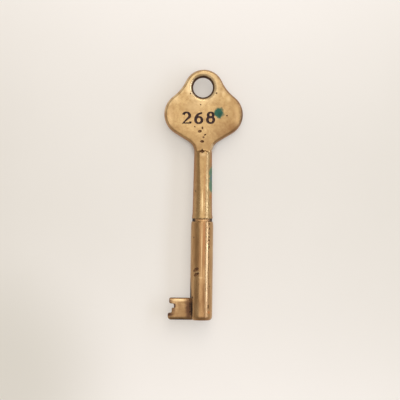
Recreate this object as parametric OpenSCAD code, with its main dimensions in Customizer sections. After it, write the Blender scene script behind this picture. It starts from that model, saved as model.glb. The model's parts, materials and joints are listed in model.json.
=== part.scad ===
// Brass barrel key for a lever lock.
// A cast bow runs into a tapered neck. The neck's spigot is brazed into a seamed tube, and a
// notched bit is brazed into a slot at the tube's open end, which fits over the lock's post.
// Millimetres. The key lies on its barrel: +Y runs from the open end to the bow, +X is to the
// right of the numbered face, +Z is up, and the origin is under the middle of the key's length.

/* [Barrel] */
// Outside diameter of the tube
barrel_d = 6; // [5.4:0.02:6.6]
// Length of the tube
barrel_l = 26.35; // [20:0.05:34]
// Bore of the tube, which takes the lock's post
post_d = 3.4; // [2.8:0.05:3.6]
// Radial step from the bore out to the socket that takes the neck's spigot
socket_step = 0.3; // [0.2:0.05:0.4]
// Radial drop of the worn crown at the tube's upper end
crown_w = 0.2; // [0.1:0.01:0.4]
// Length of the worn crown
crown_l = 2; // [0.5:0.1:4]
// Radial drop of the rounding at the open end
mouth_w = 0.7; // [0.2:0.05:0.75]
// Length of the rounding at the open end
mouth_l = 1.2; // [0.4:0.1:2]
// Lead-in chamfer inside the open end
lead_in = 0.25; // [0.1:0.05:0.3]

/* [Barrel seam] */
// Width of the lengthwise seam where the rolled tube closes
seam_w = 0.3; // [0.15:0.05:0.6]
// Angle of the seam from the top of the barrel, to the right
seam_angle = 39; // [20:1:70]
// Depth of the seam's braze below the tube's surface
seam_sink = 0.06; // [0.02:0.01:0.15]

/* [Neck] */
// Length of the neck from its shoulder to the bow's fillets
neck_l = 17.65; // [12:0.05:26]
// Diameter of the neck below the bow
neck_top_d = 4.8; // [4.2:0.02:5]
// Diameter of the neck above its flared foot
neck_foot_d = 5.26; // [4.8:0.02:5.4]
// Diameter of the flared foot
flare_d = 5.62; // [5.44:0.02:5.8]
// Length of the flared foot
flare_l = 1.4; // [0.6:0.1:3]
// Length of the nose that runs out into the face of the bow
nose_l = 0.8; // [0.6:0.1:2]
// Length of the spigot inside the tube
spigot_l = 7.5; // [4:0.1:12]
// Chamfer at the end of the spigot
spigot_chamfer = 0.12; // [0.04:0.02:0.14]
// Radial clearance of the spigot in its socket
spigot_gap = 0.04; // [0.02:0.01:0.06]

/* [Neck braze] */
// Width of the brazed groove between the neck's shoulder and the tube
groove_w = 0.75; // [0.2:0.05:1]
// Depth of the braze below the rim of the tube's crown
groove_sink = 0.1; // [0.02:0.01:0.3]

/* [Bow] */
// Thickness of the bow
bow_t = 3.2; // [2.4:0.05:3.6]
// Width of the rounding round the edge of the bow
bow_edge_w = 0.9; // [0.4:0.05:1.4]
// Radius of the eye, the round top of the bow
eye_r = 5.28; // [4.6:0.02:6]
// Height of the eye's centre above the lobes' centres
eye_rise = 6.67; // [6:0.01:8.5]
// Radius of the two side lobes
lobe_r = 5.9; // [5.2:0.05:6.2]
// Distance of each lobe's centre from the key's axis
lobe_x = 4.62; // [4:0.02:5.5]
// Height of the lobes' centres above the top of the neck
lobe_rise = 10.15; // [9.8:0.05:12]
// Hollow radius between the eye and a lobe
shoulder_r = 11.2; // [8:0.1:18]
// Hollow radius between a lobe and the neck
fillet_r = 3.3; // [2.4:0.05:3.6]
// Distance that the bow's root stays inside the neck's surface
root_lap = 0.05; // [0.02:0.01:0.1]
// Length of the bow's root down inside the neck
root_l = 1; // [0.4:0.1:3]

/* [Ring hole] */
// Diameter of the hole for the key ring
ring_d = 5.3; // [4:0.1:6.4]
// Sideways place of the hole's centre, which sits a little left of the key's axis
ring_x = -0.25; // [-0.6:0.05:0.6]
// Height of the hole's centre above the eye's centre
ring_rise = 0.45; // [0:0.05:0.8]
// Countersink at both mouths of the hole
ring_edge = 0.55; // [0.2:0.05:0.8]

/* [Bit] */
// Height of the bit along the barrel
bit_h = 5.9; // [5:0.05:8]
// Reach of the bit beyond the barrel's surface
bit_out = 5.9; // [4.5:0.05:8]
// Thickness of the bit
bit_t = 2.4; // [1.8:0.05:2.6]
// Set-back of the bit from the open end of the barrel
bit_lift = 0.05; // [0.05:0.05:1]
// Rounding of the bit's outer corners
bit_corner_r = 0.45; // [0.2:0.05:0.55]
// Rounding of the worn corner at the lower end of the bit's edge
heel_r = 0.9; // [0.4:0.05:0.95]
// Distance that the upper prong stops short of the lower one
prong_step = 0.36; // [0:0.02:0.6]
// Side clearance of the bit's root in the slot of the tube
slot_gap = 0.03; // [0.01:0.01:0.06]

/* [Notch] */
// Height of the lower prong below the notch
prong_h = 1.85; // [1.4:0.05:2.2]
// Height of the notch in the edge of the bit
notch_h = 2.5; // [2:0.05:2.8]
// Depth of the notch's upper cut, from the lower prong's tip
notch_deep = 1.65; // [1.5:0.05:2.3]
// Depth of the notch's lower cut
notch_shallow = 1.05; // [1:0.05:1.1]
// Height of the notch's upper cut
upper_cut_h = 1.2; // [1:0.05:1.5]
// Rounding of the step between the two cuts
cut_step_r = 0.22; // [0.1:0.02:0.22]
// Rounding of the notch's corners
notch_r = 0.4; // [0.2:0.05:0.45]

/* [Bit braze] */
// Leg of the braze fillet along the bit
fillet_leg = 0.7; // [0.3:0.05:0.8]
// Height of the braze fillet up the side of the barrel
fillet_rise = 0.6; // [0.3:0.05:0.8]

/* [Hidden] */
$fn = 96;

// Steps along a rounded edge, and angle of a step along the outline of the bow
edge_steps = 8;
outline_step = 7;
// Overshoot of a cut past the face that it opens
cut = 1;
// Distance below which two points of an outline count as one
same_point = 0.001;

barrel_r = barrel_d / 2;
post_r = post_d / 2;
socket_r = post_r + socket_step;
spigot_r = socket_r - spigot_gap;
groove_r = barrel_r - crown_w - groove_sink;

// Heights along the key's axis, from the open end of the barrel
spigot_s = barrel_l - spigot_l;
shoulder_s = barrel_l + groove_w;
neck_top_s = shoulder_s + neck_l;
lobe_s = neck_top_s + lobe_rise;
eye_s = lobe_s + eye_rise;
ring_s = eye_s + ring_rise;
key_l = eye_s + eye_r;

// Half the width of the bow's root, just inside the neck
root_x = neck_top_d / 2 - root_lap;

// Faces of the bit, as distances from the key's axis, and the ends of its notch
bit_tip = barrel_r + bit_out;
bit_top_s = bit_lift + bit_h;
notch_low_s = bit_lift + prong_h;
notch_high_s = notch_low_s + notch_h;
// Distance from the axis to the corner between the bit's face and the barrel
bit_corner_x = sqrt(barrel_r * barrel_r - bit_t * bit_t / 4);
// Height above the axis, and distance from it, at which a braze fillet leaves the barrel
fillet_top_z = bit_t / 2 + fillet_rise;
fillet_top_x = sqrt(barrel_r * barrel_r - fillet_top_z * fillet_top_z);

// Shared shapes

function unit(v) = v / norm(v);
function ray(angle) = [cos(angle), sin(angle)];
function heading(v) = atan2(v[1], v[0]);

// Points of an arc with the outward normal at each: side is 1 on a swell and -1 on a hollow
function arc(centre, r, from, to, side) =
    let (n = ceil(abs(to - from) / outline_step))
    [for (i = [0:n]) let (u = ray(from + (to - from) * i / n)) [centre + r * u, side * u]];

// Quarter of an ellipse from one angle to another, as plain points
function quarter(centre, w, l, from, to) =
    [for (i = [0:edge_steps])
        let (a = from + (to - from) * i / edge_steps) centre + [w * cos(a), l * sin(a)]];

// A corner of an outline, given as [x, y, radius], rounded between its neighbours
function rounded_corner(before, here, after) =
    let (
        p = [here[0], here[1]],
        r = here[2],
        a = unit([before[0], before[1]] - p),
        b = unit([after[0], after[1]] - p),
        half = acos(a * b) / 2,
        centre = p + unit(a + b) * r / sin(half),
        from = heading(p + a * r / tan(half) - centre),
        to = heading(p + b * r / tan(half) - centre),
        turn = (to - from + 540) % 360 - 180
    )
    r == 0 ? [p] : [for (i = [0:edge_steps]) centre + r * ray(from + turn * i / edge_steps)];

function rounded_outline(corners) =
    let (n = len(corners))
    [for (i = [0:n - 1])
        each rounded_corner(corners[(i + n - 1) % n], corners[i], corners[(i + 1) % n])];

// Moves a part from the barrel's open end to its place on the table
module lay() {
    translate([0, -key_l / 2, barrel_r]) children();
}

// Lays a turned shape, made up the Z axis, along the key
module along_key() {
    lay() rotate([-90, 0, 0]) children();
}

// Bow

// Centre of the hollow between the eye and the right lobe, which touches both
shoulder_c =
    let (
        eye_c = [0, eye_s],
        lobe_c = [lobe_x, lobe_s],
        to_lobe = unit(lobe_c - eye_c),
        gap = norm(lobe_c - eye_c),
        near = eye_r + shoulder_r,
        far = lobe_r + shoulder_r,
        along = (near * near - far * far + gap * gap) / (2 * gap)
    )
    eye_c + to_lobe * along + [-to_lobe[1], to_lobe[0]] * sqrt(near * near - along * along);

// Right half of the bow's outline, from the neck up to the top of the eye
function bow_side() =
    let (
        eye_c = [0, eye_s],
        lobe_c = [lobe_x, lobe_s],
        fillet_c = [root_x + fillet_r, neck_top_s],
        down = fillet_c - lobe_c,
        flank = heading(down) + acos((lobe_r + fillet_r) / norm(down)),
        lobe_end = heading(shoulder_c - lobe_c),
        eye_start = heading(shoulder_c - eye_c)
    )
    concat(
        [[[root_x, neck_top_s - root_l], [1, 0]]],
        arc(fillet_c, fillet_r, 180, flank + 180, -1),
        arc(lobe_c, lobe_r, flank, lobe_end, 1),
        arc(shoulder_c, shoulder_r, lobe_end + 180, eye_start + 180, -1),
        arc(eye_c, eye_r, eye_start, 90, 1)
    );

// Right half without the points that neighbouring arcs share
function open_side() =
    let (side = bow_side())
    [for (i = [0:len(side) - 1])
        if (i == 0 || norm(side[i][0] - side[i - 1][0]) > same_point) side[i]];

// Whole outline: the right half going up, then the left half coming down
function bow_outline() =
    let (side = open_side(), n = len(side))
    concat(side, [for (i = [n - 2:-1:0]) [for (v = side[i]) [-v[0], v[1]]]]);

// Plate of the bow: its outline drawn in towards both faces along a rounded edge
module bow_plate() {
    outline = bow_outline();
    n = len(outline);
    points = [for (k = [-edge_steps:2:edge_steps])
        let (a = 90 * k / edge_steps, inset = bow_edge_w * (1 - cos(a)))
        for (q = outline) [each (q[0] - inset * q[1]), bow_t / 2 * sin(a)]];
    walls = [for (k = [0:edge_steps - 1], i = [0:n - 1])
        let (a = k * n + i, b = k * n + (i + 1) % n)
        each [[a, a + n, b], [b, a + n, b + n]]];
    // Each face is a ladder of triangles between the two sides, which meet at the top of the eye
    top = (n - 1) / 2;
    ladder = [for (i = [0:top - 1])
        let (here = n - 1 - i, above = n - 2 - i)
        each i + 1 == above ? [[i, above, here]] : [[i, i + 1, above], [i, above, here]]];
    front = [for (t = ladder) [for (j = [2:-1:0]) edge_steps * n + t[j]]];
    polyhedron(points, concat(walls, ladder, front));
}

// Neck with its flared foot, the spigot below and the nose that dies into the bow's face
module neck() {
    rotate_extrude() polygon([
        [0, spigot_s],
        [spigot_r - spigot_chamfer, spigot_s],
        [spigot_r, spigot_s + spigot_chamfer],
        [spigot_r, shoulder_s],
        [flare_d / 2, shoulder_s],
        [neck_foot_d / 2, shoulder_s + flare_l],
        [neck_top_d / 2, neck_top_s],
        [bow_t / 2 - root_lap, neck_top_s + nose_l],
        [0, neck_top_s + nose_l],
    ]);
}

// Cutter for the ring hole, countersunk at both faces of the bow
module ring_hole() {
    translate([ring_x, ring_s, 0]) {
        cylinder(d = ring_d, h = bow_t + 2 * cut, center = true);
        for (face = [0, 1]) mirror([0, 0, face]) translate([0, 0, bow_t / 2 - ring_edge])
            cylinder(r1 = ring_d / 2, r2 = ring_d / 2 + ring_edge + cut, h = ring_edge + cut);
    }
}

module bow() {
    color("#c9a163") difference() {
        union() {
            lay() bow_plate();
            along_key() neck();
        }
        lay() ring_hole();
    }
}

// Barrel

// Wall of the tube, from its bore and its socket to the worn outside
module barrel_wall(outside) {
    rotate_extrude() polygon(concat(
        [[socket_r, barrel_l], [socket_r, spigot_s], [post_r, spigot_s]],
        [[post_r, lead_in], [post_r + lead_in, 0]],
        quarter([outside - mouth_w, mouth_l], mouth_w, mouth_l, -90, 0),
        quarter([outside - crown_w, barrel_l - crown_l], crown_w, crown_l, 0, 90)
    ));
}

// Slab that stands in the seam, from the axis outwards
module seam_slab() {
    rotate([0, 0, seam_angle - 90]) translate([0, -seam_w / 2, -cut])
        cube([barrel_d, seam_w, barrel_l + 2 * cut]);
}

module barrel() {
    color("#b98d52") difference() {
        along_key() difference() {
            barrel_wall(barrel_r);
            seam_slab();
        }
        bit_slot();
    }
}

// Braze that closes the seam, a little below the surface
module barrel_seam() {
    color("#8a6a3a") along_key() intersection() {
        barrel_wall(barrel_r - seam_sink);
        seam_slab();
    }
}

// Braze ring in the groove between the neck's shoulder and the tube
module neck_braze() {
    color("#6f5230") along_key() translate([0, 0, barrel_l]) difference() {
        cylinder(r = groove_r, h = groove_w);
        translate([0, 0, -cut]) cylinder(r = spigot_r, h = groove_w + 2 * cut);
    }
}

// Bit

// Slot for the bit's root, open at the end of the tube
module bit_slot() {
    lay() translate([-bit_tip, -cut, -bit_t / 2 - slot_gap])
        cube([bit_tip, bit_top_s + cut, bit_t + 2 * slot_gap]);
}

// Side view of the bit: the two prongs with the notch between them, and the root in the slot
module bit_profile() {
    deep_x = notch_deep - bit_tip;
    shallow_x = notch_shallow - bit_tip;
    cut_step_s = notch_high_s - upper_cut_h;
    polygon(rounded_outline([
        [0, bit_lift, 0],
        [0, bit_top_s, 0],
        [prong_step - bit_tip, bit_top_s, bit_corner_r],
        [prong_step - bit_tip, notch_high_s, bit_corner_r],
        [deep_x, notch_high_s, notch_r],
        [deep_x, cut_step_s, cut_step_r],
        [shallow_x, cut_step_s, cut_step_r],
        [shallow_x, notch_low_s, notch_r],
        [-bit_tip, notch_low_s, bit_corner_r],
        [-bit_tip, bit_lift, heel_r],
    ]));
}

module bit() {
    color("#c39a5e") lay() difference() {
        linear_extrude(bit_t, center = true) bit_profile();
        rotate([-90, 0, 0]) translate([0, 0, -cut]) cylinder(d = post_d, h = bit_top_s + 2 * cut);
        translate([-post_r, 0, -bit_t]) cube([barrel_d, bit_top_s + cut, 2 * bit_t]);
    }
}

// Braze fillets in the corners between the bit's faces and the barrel
module bit_braze() {
    color("#7a5a34") lay() difference() {
        for (side = [0, 1]) mirror([0, 0, side]) rotate([-90, 0, 0])
            translate([0, 0, bit_lift + mouth_l]) linear_extrude(bit_h - mouth_l) polygon([
                [-bit_corner_x - fillet_leg, -bit_t / 2],
                [-fillet_top_x, -fillet_top_z],
                [-post_r, -bit_t / 2],
            ]);
        rotate([-90, 0, 0]) cylinder(d = barrel_d, h = barrel_l);
    }
}

bow();
barrel();
barrel_seam();
neck_braze();
bit();
bit_braze();
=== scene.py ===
"""Looks of a worn brass barrel key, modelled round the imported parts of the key.

The key lies along +Y on a pale floor with the numbered face of its bow up. Lengths are in metres. Places
come from the frame's own nodes and mounts, and every piece is modelled about the key's axis and then
lifted to the height of that axis. Finishes read Object coordinates, which are the frame's own.
"""

import json
import logging
import math
from collections.abc import Iterator
from contextlib import contextmanager
from dataclasses import dataclass
from enum import Enum

import bmesh
import bpy
from bpy.types import Material, Node, NodeSocket, NodeTree, Object
from mathutils import Matrix, Vector

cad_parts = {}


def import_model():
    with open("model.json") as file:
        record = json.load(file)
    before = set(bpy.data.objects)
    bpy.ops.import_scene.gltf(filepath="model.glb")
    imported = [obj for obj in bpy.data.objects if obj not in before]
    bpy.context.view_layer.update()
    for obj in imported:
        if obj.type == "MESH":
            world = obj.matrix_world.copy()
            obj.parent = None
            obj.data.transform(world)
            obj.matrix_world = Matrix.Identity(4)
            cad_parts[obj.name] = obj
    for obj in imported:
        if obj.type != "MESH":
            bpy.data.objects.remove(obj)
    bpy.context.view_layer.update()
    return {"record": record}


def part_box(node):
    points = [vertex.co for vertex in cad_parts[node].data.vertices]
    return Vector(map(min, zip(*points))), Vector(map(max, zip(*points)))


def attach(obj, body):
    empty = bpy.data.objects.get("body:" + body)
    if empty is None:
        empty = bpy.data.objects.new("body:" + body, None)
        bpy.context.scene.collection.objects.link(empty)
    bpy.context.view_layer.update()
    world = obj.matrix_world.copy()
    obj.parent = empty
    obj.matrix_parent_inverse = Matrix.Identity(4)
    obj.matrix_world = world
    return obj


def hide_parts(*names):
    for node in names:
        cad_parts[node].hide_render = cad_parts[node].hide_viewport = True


MM = 0.001
BODY = "root"
MERGE = 1e-6
MIRROR_MERGE = 10 * MERGE
OVERCUT = 1 * MM
ARC_STEP = math.radians(6)
ROUND_STEPS = 96
SMOOTH_ANGLE = math.radians(32)
SHARP_ANGLE = math.radians(60)
SPIGOT_R = 1.96 * MM

Point = tuple[float, float, float]
Span = tuple[float, float]
Source = NodeSocket | float | Point | tuple[float, float, float, float]
UNIT: Span = (0.0, 1.0)
NOISE_MIDDLE = 0.5

log = logging.getLogger("barrel_key")


class Axis(Enum):
    """Axes that a shape is turned about."""

    Y = (0.0, 1.0, 0.0)
    Z = (0.0, 0.0, 1.0)


class Mirror(Enum):
    """Ways in which a half is mirrored: to the key's other side, or to its other face."""

    SIDE = (True, False, False)
    FACE = (False, False, True)


class Join(Enum):
    """Ways in which a tool acts on a piece."""

    ADD = "UNION"
    CUT = "DIFFERENCE"
    KEEP_COMMON = "INTERSECT"


class Face(Enum):
    """The two faces of the key, as the sign of Z about its axis."""

    FRONT = 1
    BACK = -1


class Figure(Enum):
    """Figures of the stamped number."""

    TWO = "2"
    SIX = "6"
    EIGHT = "8"


def flat(x: float, y: float) -> Vector:
    """Returns a point in the key's middle plane."""
    return Vector((x, y, 0))


def heading(v: Vector) -> float:
    """Returns the angle of a flat vector from +X."""
    return math.atan2(v.y, v.x)


def ray(angle: float) -> Vector:
    """Returns the flat unit vector at an angle from +X."""
    return flat(math.cos(angle), math.sin(angle))


def deselect() -> None:
    """Leaves nothing selected."""
    bpy.ops.object.select_all(action="DESELECT")


def take(obj: Object) -> None:
    """Makes one object the only selected one, and the active one.

    Args:
        obj: The object to take.
    """
    deselect()
    obj.select_set(True)
    bpy.context.view_layer.objects.active = obj


def named(name: str) -> Object:
    """Names the object that was added last.

    Args:
        name: Its new name.

    Returns:
        The object.
    """
    made = bpy.context.object
    made.name = name
    return made


@contextmanager
def editing(obj: Object) -> Iterator[None]:
    """Edit mode on one object, with all of it selected.

    Args:
        obj: The object whose mesh is edited.

    Returns:
        A context that goes back to object mode at its end.
    """
    take(obj)
    bpy.ops.object.mode_set(mode="EDIT")
    bpy.ops.mesh.select_mode(type="VERT")
    bpy.ops.mesh.select_all(action="SELECT")
    yield
    bpy.ops.object.mode_set(mode="OBJECT")


def settle(obj: Object) -> None:
    """Puts an object's place, turn and size into its mesh."""
    take(obj)
    bpy.ops.object.transform_apply(location=True, rotation=True, scale=True)


def cover(obj: Object, finish: Material) -> None:
    """Gives the whole of an object one finish."""
    obj.data.materials.clear()
    obj.data.materials.append(finish)


def apply_modifier(obj: Object, kind: str, **settings: object) -> None:
    """Adds a modifier with the given settings and applies it.

    Args:
        obj: The object to change.
        kind: Blender's name for the modifier's type.
        settings: Values of the modifier's own properties.
    """
    modifier = obj.modifiers.new(kind.lower(), kind)
    for name, value in settings.items():
        setattr(modifier, name, value)
    take(obj)
    bpy.ops.object.modifier_apply(modifier=modifier.name)


def work(obj: Object, tool: Object, join: Join, keep_tool: bool = False) -> None:
    """Adds a tool's shape to a piece, cuts it out or keeps what both share. Cut faces keep the tool's finish.

    Args:
        obj: The piece that is changed.
        tool: The other shape, whose parts don't overlap each other.
        join: What is done with it.
        keep_tool: Whether the tool is needed again.
    """
    settings = {"operation": join.value, "solver": "EXACT", "object": tool, "material_mode": "TRANSFER"}
    apply_modifier(obj, "BOOLEAN", **settings)
    if not keep_tool:
        bpy.data.objects.remove(tool)


def copy_of(obj: Object, name: str) -> Object:
    """Copies an object.

    Args:
        obj: The object to copy.
        name: Name of the copy.

    Returns:
        The copy, with a mesh of its own.
    """
    made = obj.copy()
    made.data = obj.data.copy()
    made.name = name
    bpy.context.scene.collection.objects.link(made)
    return made


def joined(parts: list[Object], name: str) -> Object:
    """Makes one object of several.

    Args:
        parts: The objects to join.
        name: Name of the whole.

    Returns:
        The whole.
    """
    deselect()
    for part in parts:
        part.select_set(True)
    bpy.context.view_layer.objects.active = parts[0]
    bpy.ops.object.join()
    parts[0].name = name
    return parts[0]


def clean(obj: Object) -> None:
    """Merges an object's doubled vertices and turns every face outwards.

    Args:
        obj: The object, as a closed mesh.
    """
    with editing(obj):
        bpy.ops.mesh.remove_doubles(threshold=MERGE)
        bpy.ops.mesh.normals_make_consistent(inside=False)


def slice_off(obj: Object, place: Point, way: Point) -> None:
    """Cuts a closed mesh with a plane, takes off what lies beyond it and fills the cut.

    Args:
        obj: The object to cut.
        place: A point on the plane.
        way: The plane's normal, which points at what is taken off.
    """
    with editing(obj):
        bpy.ops.mesh.bisect(plane_co=place, plane_no=way, use_fill=True, clear_outer=True)


class Pen:
    """Draws a wire with one vertex in edit mode: straight runs are extruded and round ones are spun."""

    def __init__(self, name: str, start: Vector) -> None:
        """Starts a wire.

        Args:
            name: Name of the object that holds the wire.
            start: Where its first vertex is.
        """
        deselect()
        bpy.ops.mesh.primitive_plane_add(size=MM, location=start)
        self.wire = named(name)
        self.at = Vector(start)
        settle(self.wire)
        bpy.ops.object.mode_set(mode="EDIT")
        bpy.ops.mesh.select_all(action="SELECT")
        bpy.ops.mesh.merge(type="CENTER")

    def line(self, *points: Vector) -> "Pen":
        """Draws straight runs.

        Args:
            points: Where each run ends.

        Returns:
            The pen itself.
        """
        for point in points:
            bpy.ops.mesh.extrude_region_move(TRANSFORM_OT_translate={"value": Vector(point) - self.at})
            self.at = Vector(point)
        return self

    def arc(self, centre: Vector, turn: float) -> "Pen":
        """Draws an arc round a centre.

        Args:
            centre: Centre of the arc.
            turn: Angle of the arc, anticlockwise as seen from the front.

        Returns:
            The pen itself.
        """
        steps = max(1, math.ceil(abs(turn) / ARC_STEP))
        bpy.ops.mesh.spin(steps=steps, angle=-turn, center=centre, axis=Axis.Z.value)
        self.at = centre + Matrix.Rotation(turn, 3, Axis.Z.value) @ (self.at - centre)
        return self

    def corner(self, here: Vector, after: Vector, radius: float) -> "Pen":
        """Draws a run to a corner of an outline and rounds it towards the next corner.

        Args:
            here: The corner.
            after: The corner after it.
            radius: Radius of its rounding, or 0 for a sharp corner.

        Returns:
            The pen itself.
        """
        if radius == 0:
            return self.line(here)
        back = (self.at - here).normalized()
        on = (after - here).normalized()
        half = back.angle(on) / 2
        centre = here + (back + on).normalized() * radius / math.sin(half)
        start = here + back * radius / math.tan(half)
        turn = math.pi - 2 * half
        side = 1 if back.cross(on).z < 0 else -1
        return self.line(start).arc(centre, side * turn)

    def lift(self) -> Object:
        """Ends the wire and returns its object."""
        bpy.ops.object.mode_set(mode="OBJECT")
        return self.wire

    def filled(self) -> Object:
        """Closes the wire with a face.

        Returns:
            The wire's object.
        """
        wire = self.lift()
        with editing(wire):
            bpy.ops.mesh.remove_doubles(threshold=MERGE)
            bpy.ops.mesh.edge_face_add()
        return wire

    def turned(self, centre: Vector, axis: Axis) -> Object:
        """Spins the wire into a solid of revolution.

        Args:
            centre: A point on the axis.
            axis: Axis of the solid.

        Returns:
            The wire's object.
        """
        wire = self.lift()
        with editing(wire):
            bpy.ops.mesh.spin(steps=ROUND_STEPS, angle=2 * math.pi, center=centre, axis=axis.value)
        clean(wire)
        return wire


def drawn_through(face: Object, way: Vector) -> Object:
    """Extrudes a flat face into a closed solid.

    Args:
        face: An object with one face.
        way: How far, and which way, the face is drawn.

    Returns:
        The same object.
    """
    with editing(face):
        bpy.ops.mesh.extrude_region_move(TRANSFORM_OT_translate={"value": way})
    clean(face)
    return face


def block(name: str, low: Vector, high: Vector) -> Object:
    """Adds a box as a tool for cutting.

    Args:
        name: Name of the box.
        low: Its lowest corner.
        high: Its highest corner.

    Returns:
        The box.
    """
    deselect()
    bpy.ops.mesh.primitive_cube_add(size=1, location=(low + high) / 2, scale=high - low)
    made = named(name)
    settle(made)
    return made


@dataclass(frozen=True)
class Dents:
    """Shallow hollows all over a piece, which lie inside its true faces."""

    depth: float
    size: float

    def press(self, obj: Object) -> None:
        """Presses the dents into a piece.

        Args:
            obj: The piece, with enough vertices to follow the dents.
        """
        clouds = bpy.data.textures.new(obj.name + "_dents", "CLOUDS")
        clouds.noise_scale = self.size
        apply_modifier(obj, "DISPLACE", texture=clouds, strength=self.depth, mid_level=1.0)


@dataclass(frozen=True)
class Wear:
    """How far handling has softened a piece: its edges round over and its faces are no longer true."""

    grain: float
    passes: int
    dents: Dents
    pull: float = 0.5

    def apply(self, obj: Object) -> None:
        """Softens the edges of a piece and dents its faces.

        Args:
            obj: The piece, as a closed mesh.
        """
        apply_modifier(obj, "REMESH", mode="VOXEL", voxel_size=self.grain)
        apply_modifier(obj, "SMOOTH", factor=self.pull, iterations=self.passes)
        self.dents.press(obj)


@dataclass(frozen=True)
class Flaw:
    """A pit or nick, cut by a small uneven pebble. Its size is its width, its length and its depth."""

    place: Point
    size: Point
    turn: float = 0.0
    lean: float = 0.0
    uneven: float = 0.12
    fineness: int = 3

    @classmethod
    def on_round(cls, radius: float, angle: float, y: float, size: Point, turn: float = 0.0) -> "Flaw":
        """Places a flaw in a round surface about the key's axis.

        Args:
            radius: Radius of the surface.
            angle: Angle of the flaw from the front, towards +X.
            y: Place along the key.
            size: Size of the flaw, whose width goes round the surface.
            turn: Turn of the flaw on the surface.

        Returns:
            The flaw.
        """
        return cls((radius * math.sin(angle), y, radius * math.cos(angle)), size, turn, angle)

    def tool(self, seed: int, finish: Material) -> Object:
        """Shapes the pebble that cuts the flaw.

        Args:
            seed: Seed of the pebble's unevenness.
            finish: Finish of the flaw's walls.

        Returns:
            The pebble.
        """
        deselect()
        bpy.ops.mesh.primitive_ico_sphere_add(subdivisions=self.fineness, radius=1)
        pebble = named("flaw_tool")
        with editing(pebble):
            bpy.ops.transform.vertex_random(offset=self.uneven, uniform=1.0, seed=seed)
        width, length, depth = self.size
        pebble.scale = (width / 2, length / 2, depth)
        pebble.rotation_mode = "ZYX"
        pebble.rotation_euler = (0, self.lean, self.turn)
        pebble.location = self.place
        settle(pebble)
        cover(pebble, finish)
        return pebble


def pebbles(flaws: list[Flaw], finish: Material) -> list[Object]:
    """Returns the tools of several flaws, each with a seed of its own."""
    return [flaw.tool(seed, finish) for seed, flaw in enumerate(flaws)]


class Graph:
    """Adds nodes to one node tree and wires them."""

    def __init__(self, tree: NodeTree) -> None:
        """Takes the tree that the nodes go into."""
        self.tree = tree

    def feed(self, socket: NodeSocket, source: Source) -> None:
        """Links a socket to another, or sets its value.

        Args:
            socket: The socket that is fed.
            source: Another socket, or a value.
        """
        if isinstance(source, NodeSocket):
            self.tree.links.new(source, socket)
        else:
            socket.default_value = source

    def add(self, kind: str, inputs: dict[str | int, Source], **settings: object) -> Node:
        """Adds a node.

        Args:
            kind: The shader node's type, without its common prefix.
            inputs: What each input is linked to or set to.
            settings: Values of the node's own properties, set before its inputs.

        Returns:
            The node.
        """
        made = self.tree.nodes.new("ShaderNode" + kind)
        for name, value in settings.items():
            setattr(made, name, value)
        for key, source in inputs.items():
            self.feed(made.inputs[key], source)
        return made

    def calc(self, operation: str, a: Source, b: Source, clamp: bool = False) -> NodeSocket:
        """Returns the outcome of arithmetic on two values."""
        return self.add("Math", {0: a, 1: b}, operation=operation, use_clamp=clamp).outputs[0]

    def times(self, a: Source, b: Source) -> NodeSocket:
        """Returns the product of two values."""
        return self.calc("MULTIPLY", a, b)

    def vector(self, operation: str, a: Source, b: Source) -> NodeSocket:
        """Returns the outcome of arithmetic on two vectors."""
        return self.add("VectorMath", {0: a, 1: b}, operation=operation).outputs["Vector"]

    def measure(self, operation: str, a: Source, b: Source = (0.0, 0.0, 0.0)) -> NodeSocket:
        """Returns a number that is worked out from vectors."""
        return self.add("VectorMath", {0: a, 1: b}, operation=operation).outputs["Value"]

    def level(self, value: Source, span: Span, out: tuple[Source, Source] = UNIT) -> NodeSocket:
        """Spreads a value from one range to another, softly and held at both ends.

        Args:
            value: The value.
            span: The two values that give the ends of the new range.
            out: The ends of the new range.

        Returns:
            The spread value.
        """
        ends = {"From Min": span[0], "From Max": span[1], "To Min": out[0], "To Max": out[1]}
        made = self.add("MapRange", {"Value": value, **ends}, interpolation_type="SMOOTHSTEP")
        return made.outputs["Result"]

    def blend(self, share: Source, a: Source, b: Source) -> NodeSocket:
        """Returns a mix of two colours."""
        return self.add("Mix", {0: share, 6: a, 7: b}, data_type="RGBA").outputs[2]

    def noise(self, place: Source, size: Source, detail: float, warp: float = 0.0) -> NodeSocket:
        """Adds cloudy noise.

        Args:
            place: Where the noise is read.
            size: About the size of its patches.
            detail: How many finer layers it has.
            warp: How far its patches are pulled about.

        Returns:
            The noise, which lies about NOISE_MIDDLE.
        """
        pitch = 1 / size if isinstance(size, float) else self.calc("DIVIDE", 1.0, size)
        inputs = {"Vector": place, "Scale": pitch, "Detail": detail, "Distortion": warp}
        return self.add("TexNoise", inputs).outputs["Fac"]

    def place(self) -> NodeSocket:
        """Returns the place on the key, in millimetres."""
        coords = self.add("TexCoord", {}).outputs["Object"]
        return self.vector("MULTIPLY", coords, (1 / MM, 1 / MM, 1 / MM))

    def effect(self, group: NodeTree, inputs: dict[str, Source]) -> Node:
        """Places a shared effect and returns its node."""
        return self.add("Group", inputs, node_tree=group)


class SharedEffect:
    """A shader node group that several finishes use, with its own graph."""

    def __init__(self, name: str, inputs: dict[str, str], outputs: tuple[str, ...]) -> None:
        """Starts the group.

        Args:
            name: Name of the effect.
            inputs: Names of its inputs with their kinds.
            outputs: Names of its outputs, which are all values.
        """
        self.group = bpy.data.node_groups.new(name, "ShaderNodeTree")
        for label, kind in inputs.items():
            self.group.interface.new_socket(label, in_out="INPUT", socket_type="NodeSocket" + kind)
        for label in outputs:
            self.group.interface.new_socket(label, in_out="OUTPUT", socket_type="NodeSocketFloat")
        self.graph = Graph(self.group)
        self.given = self.group.nodes.new("NodeGroupInput").outputs
        self.result = self.group.nodes.new("NodeGroupOutput").inputs

    def give(self, label: str, source: NodeSocket) -> None:
        """Sends a value out of the group."""
        self.graph.feed(self.result[label], source)


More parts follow.
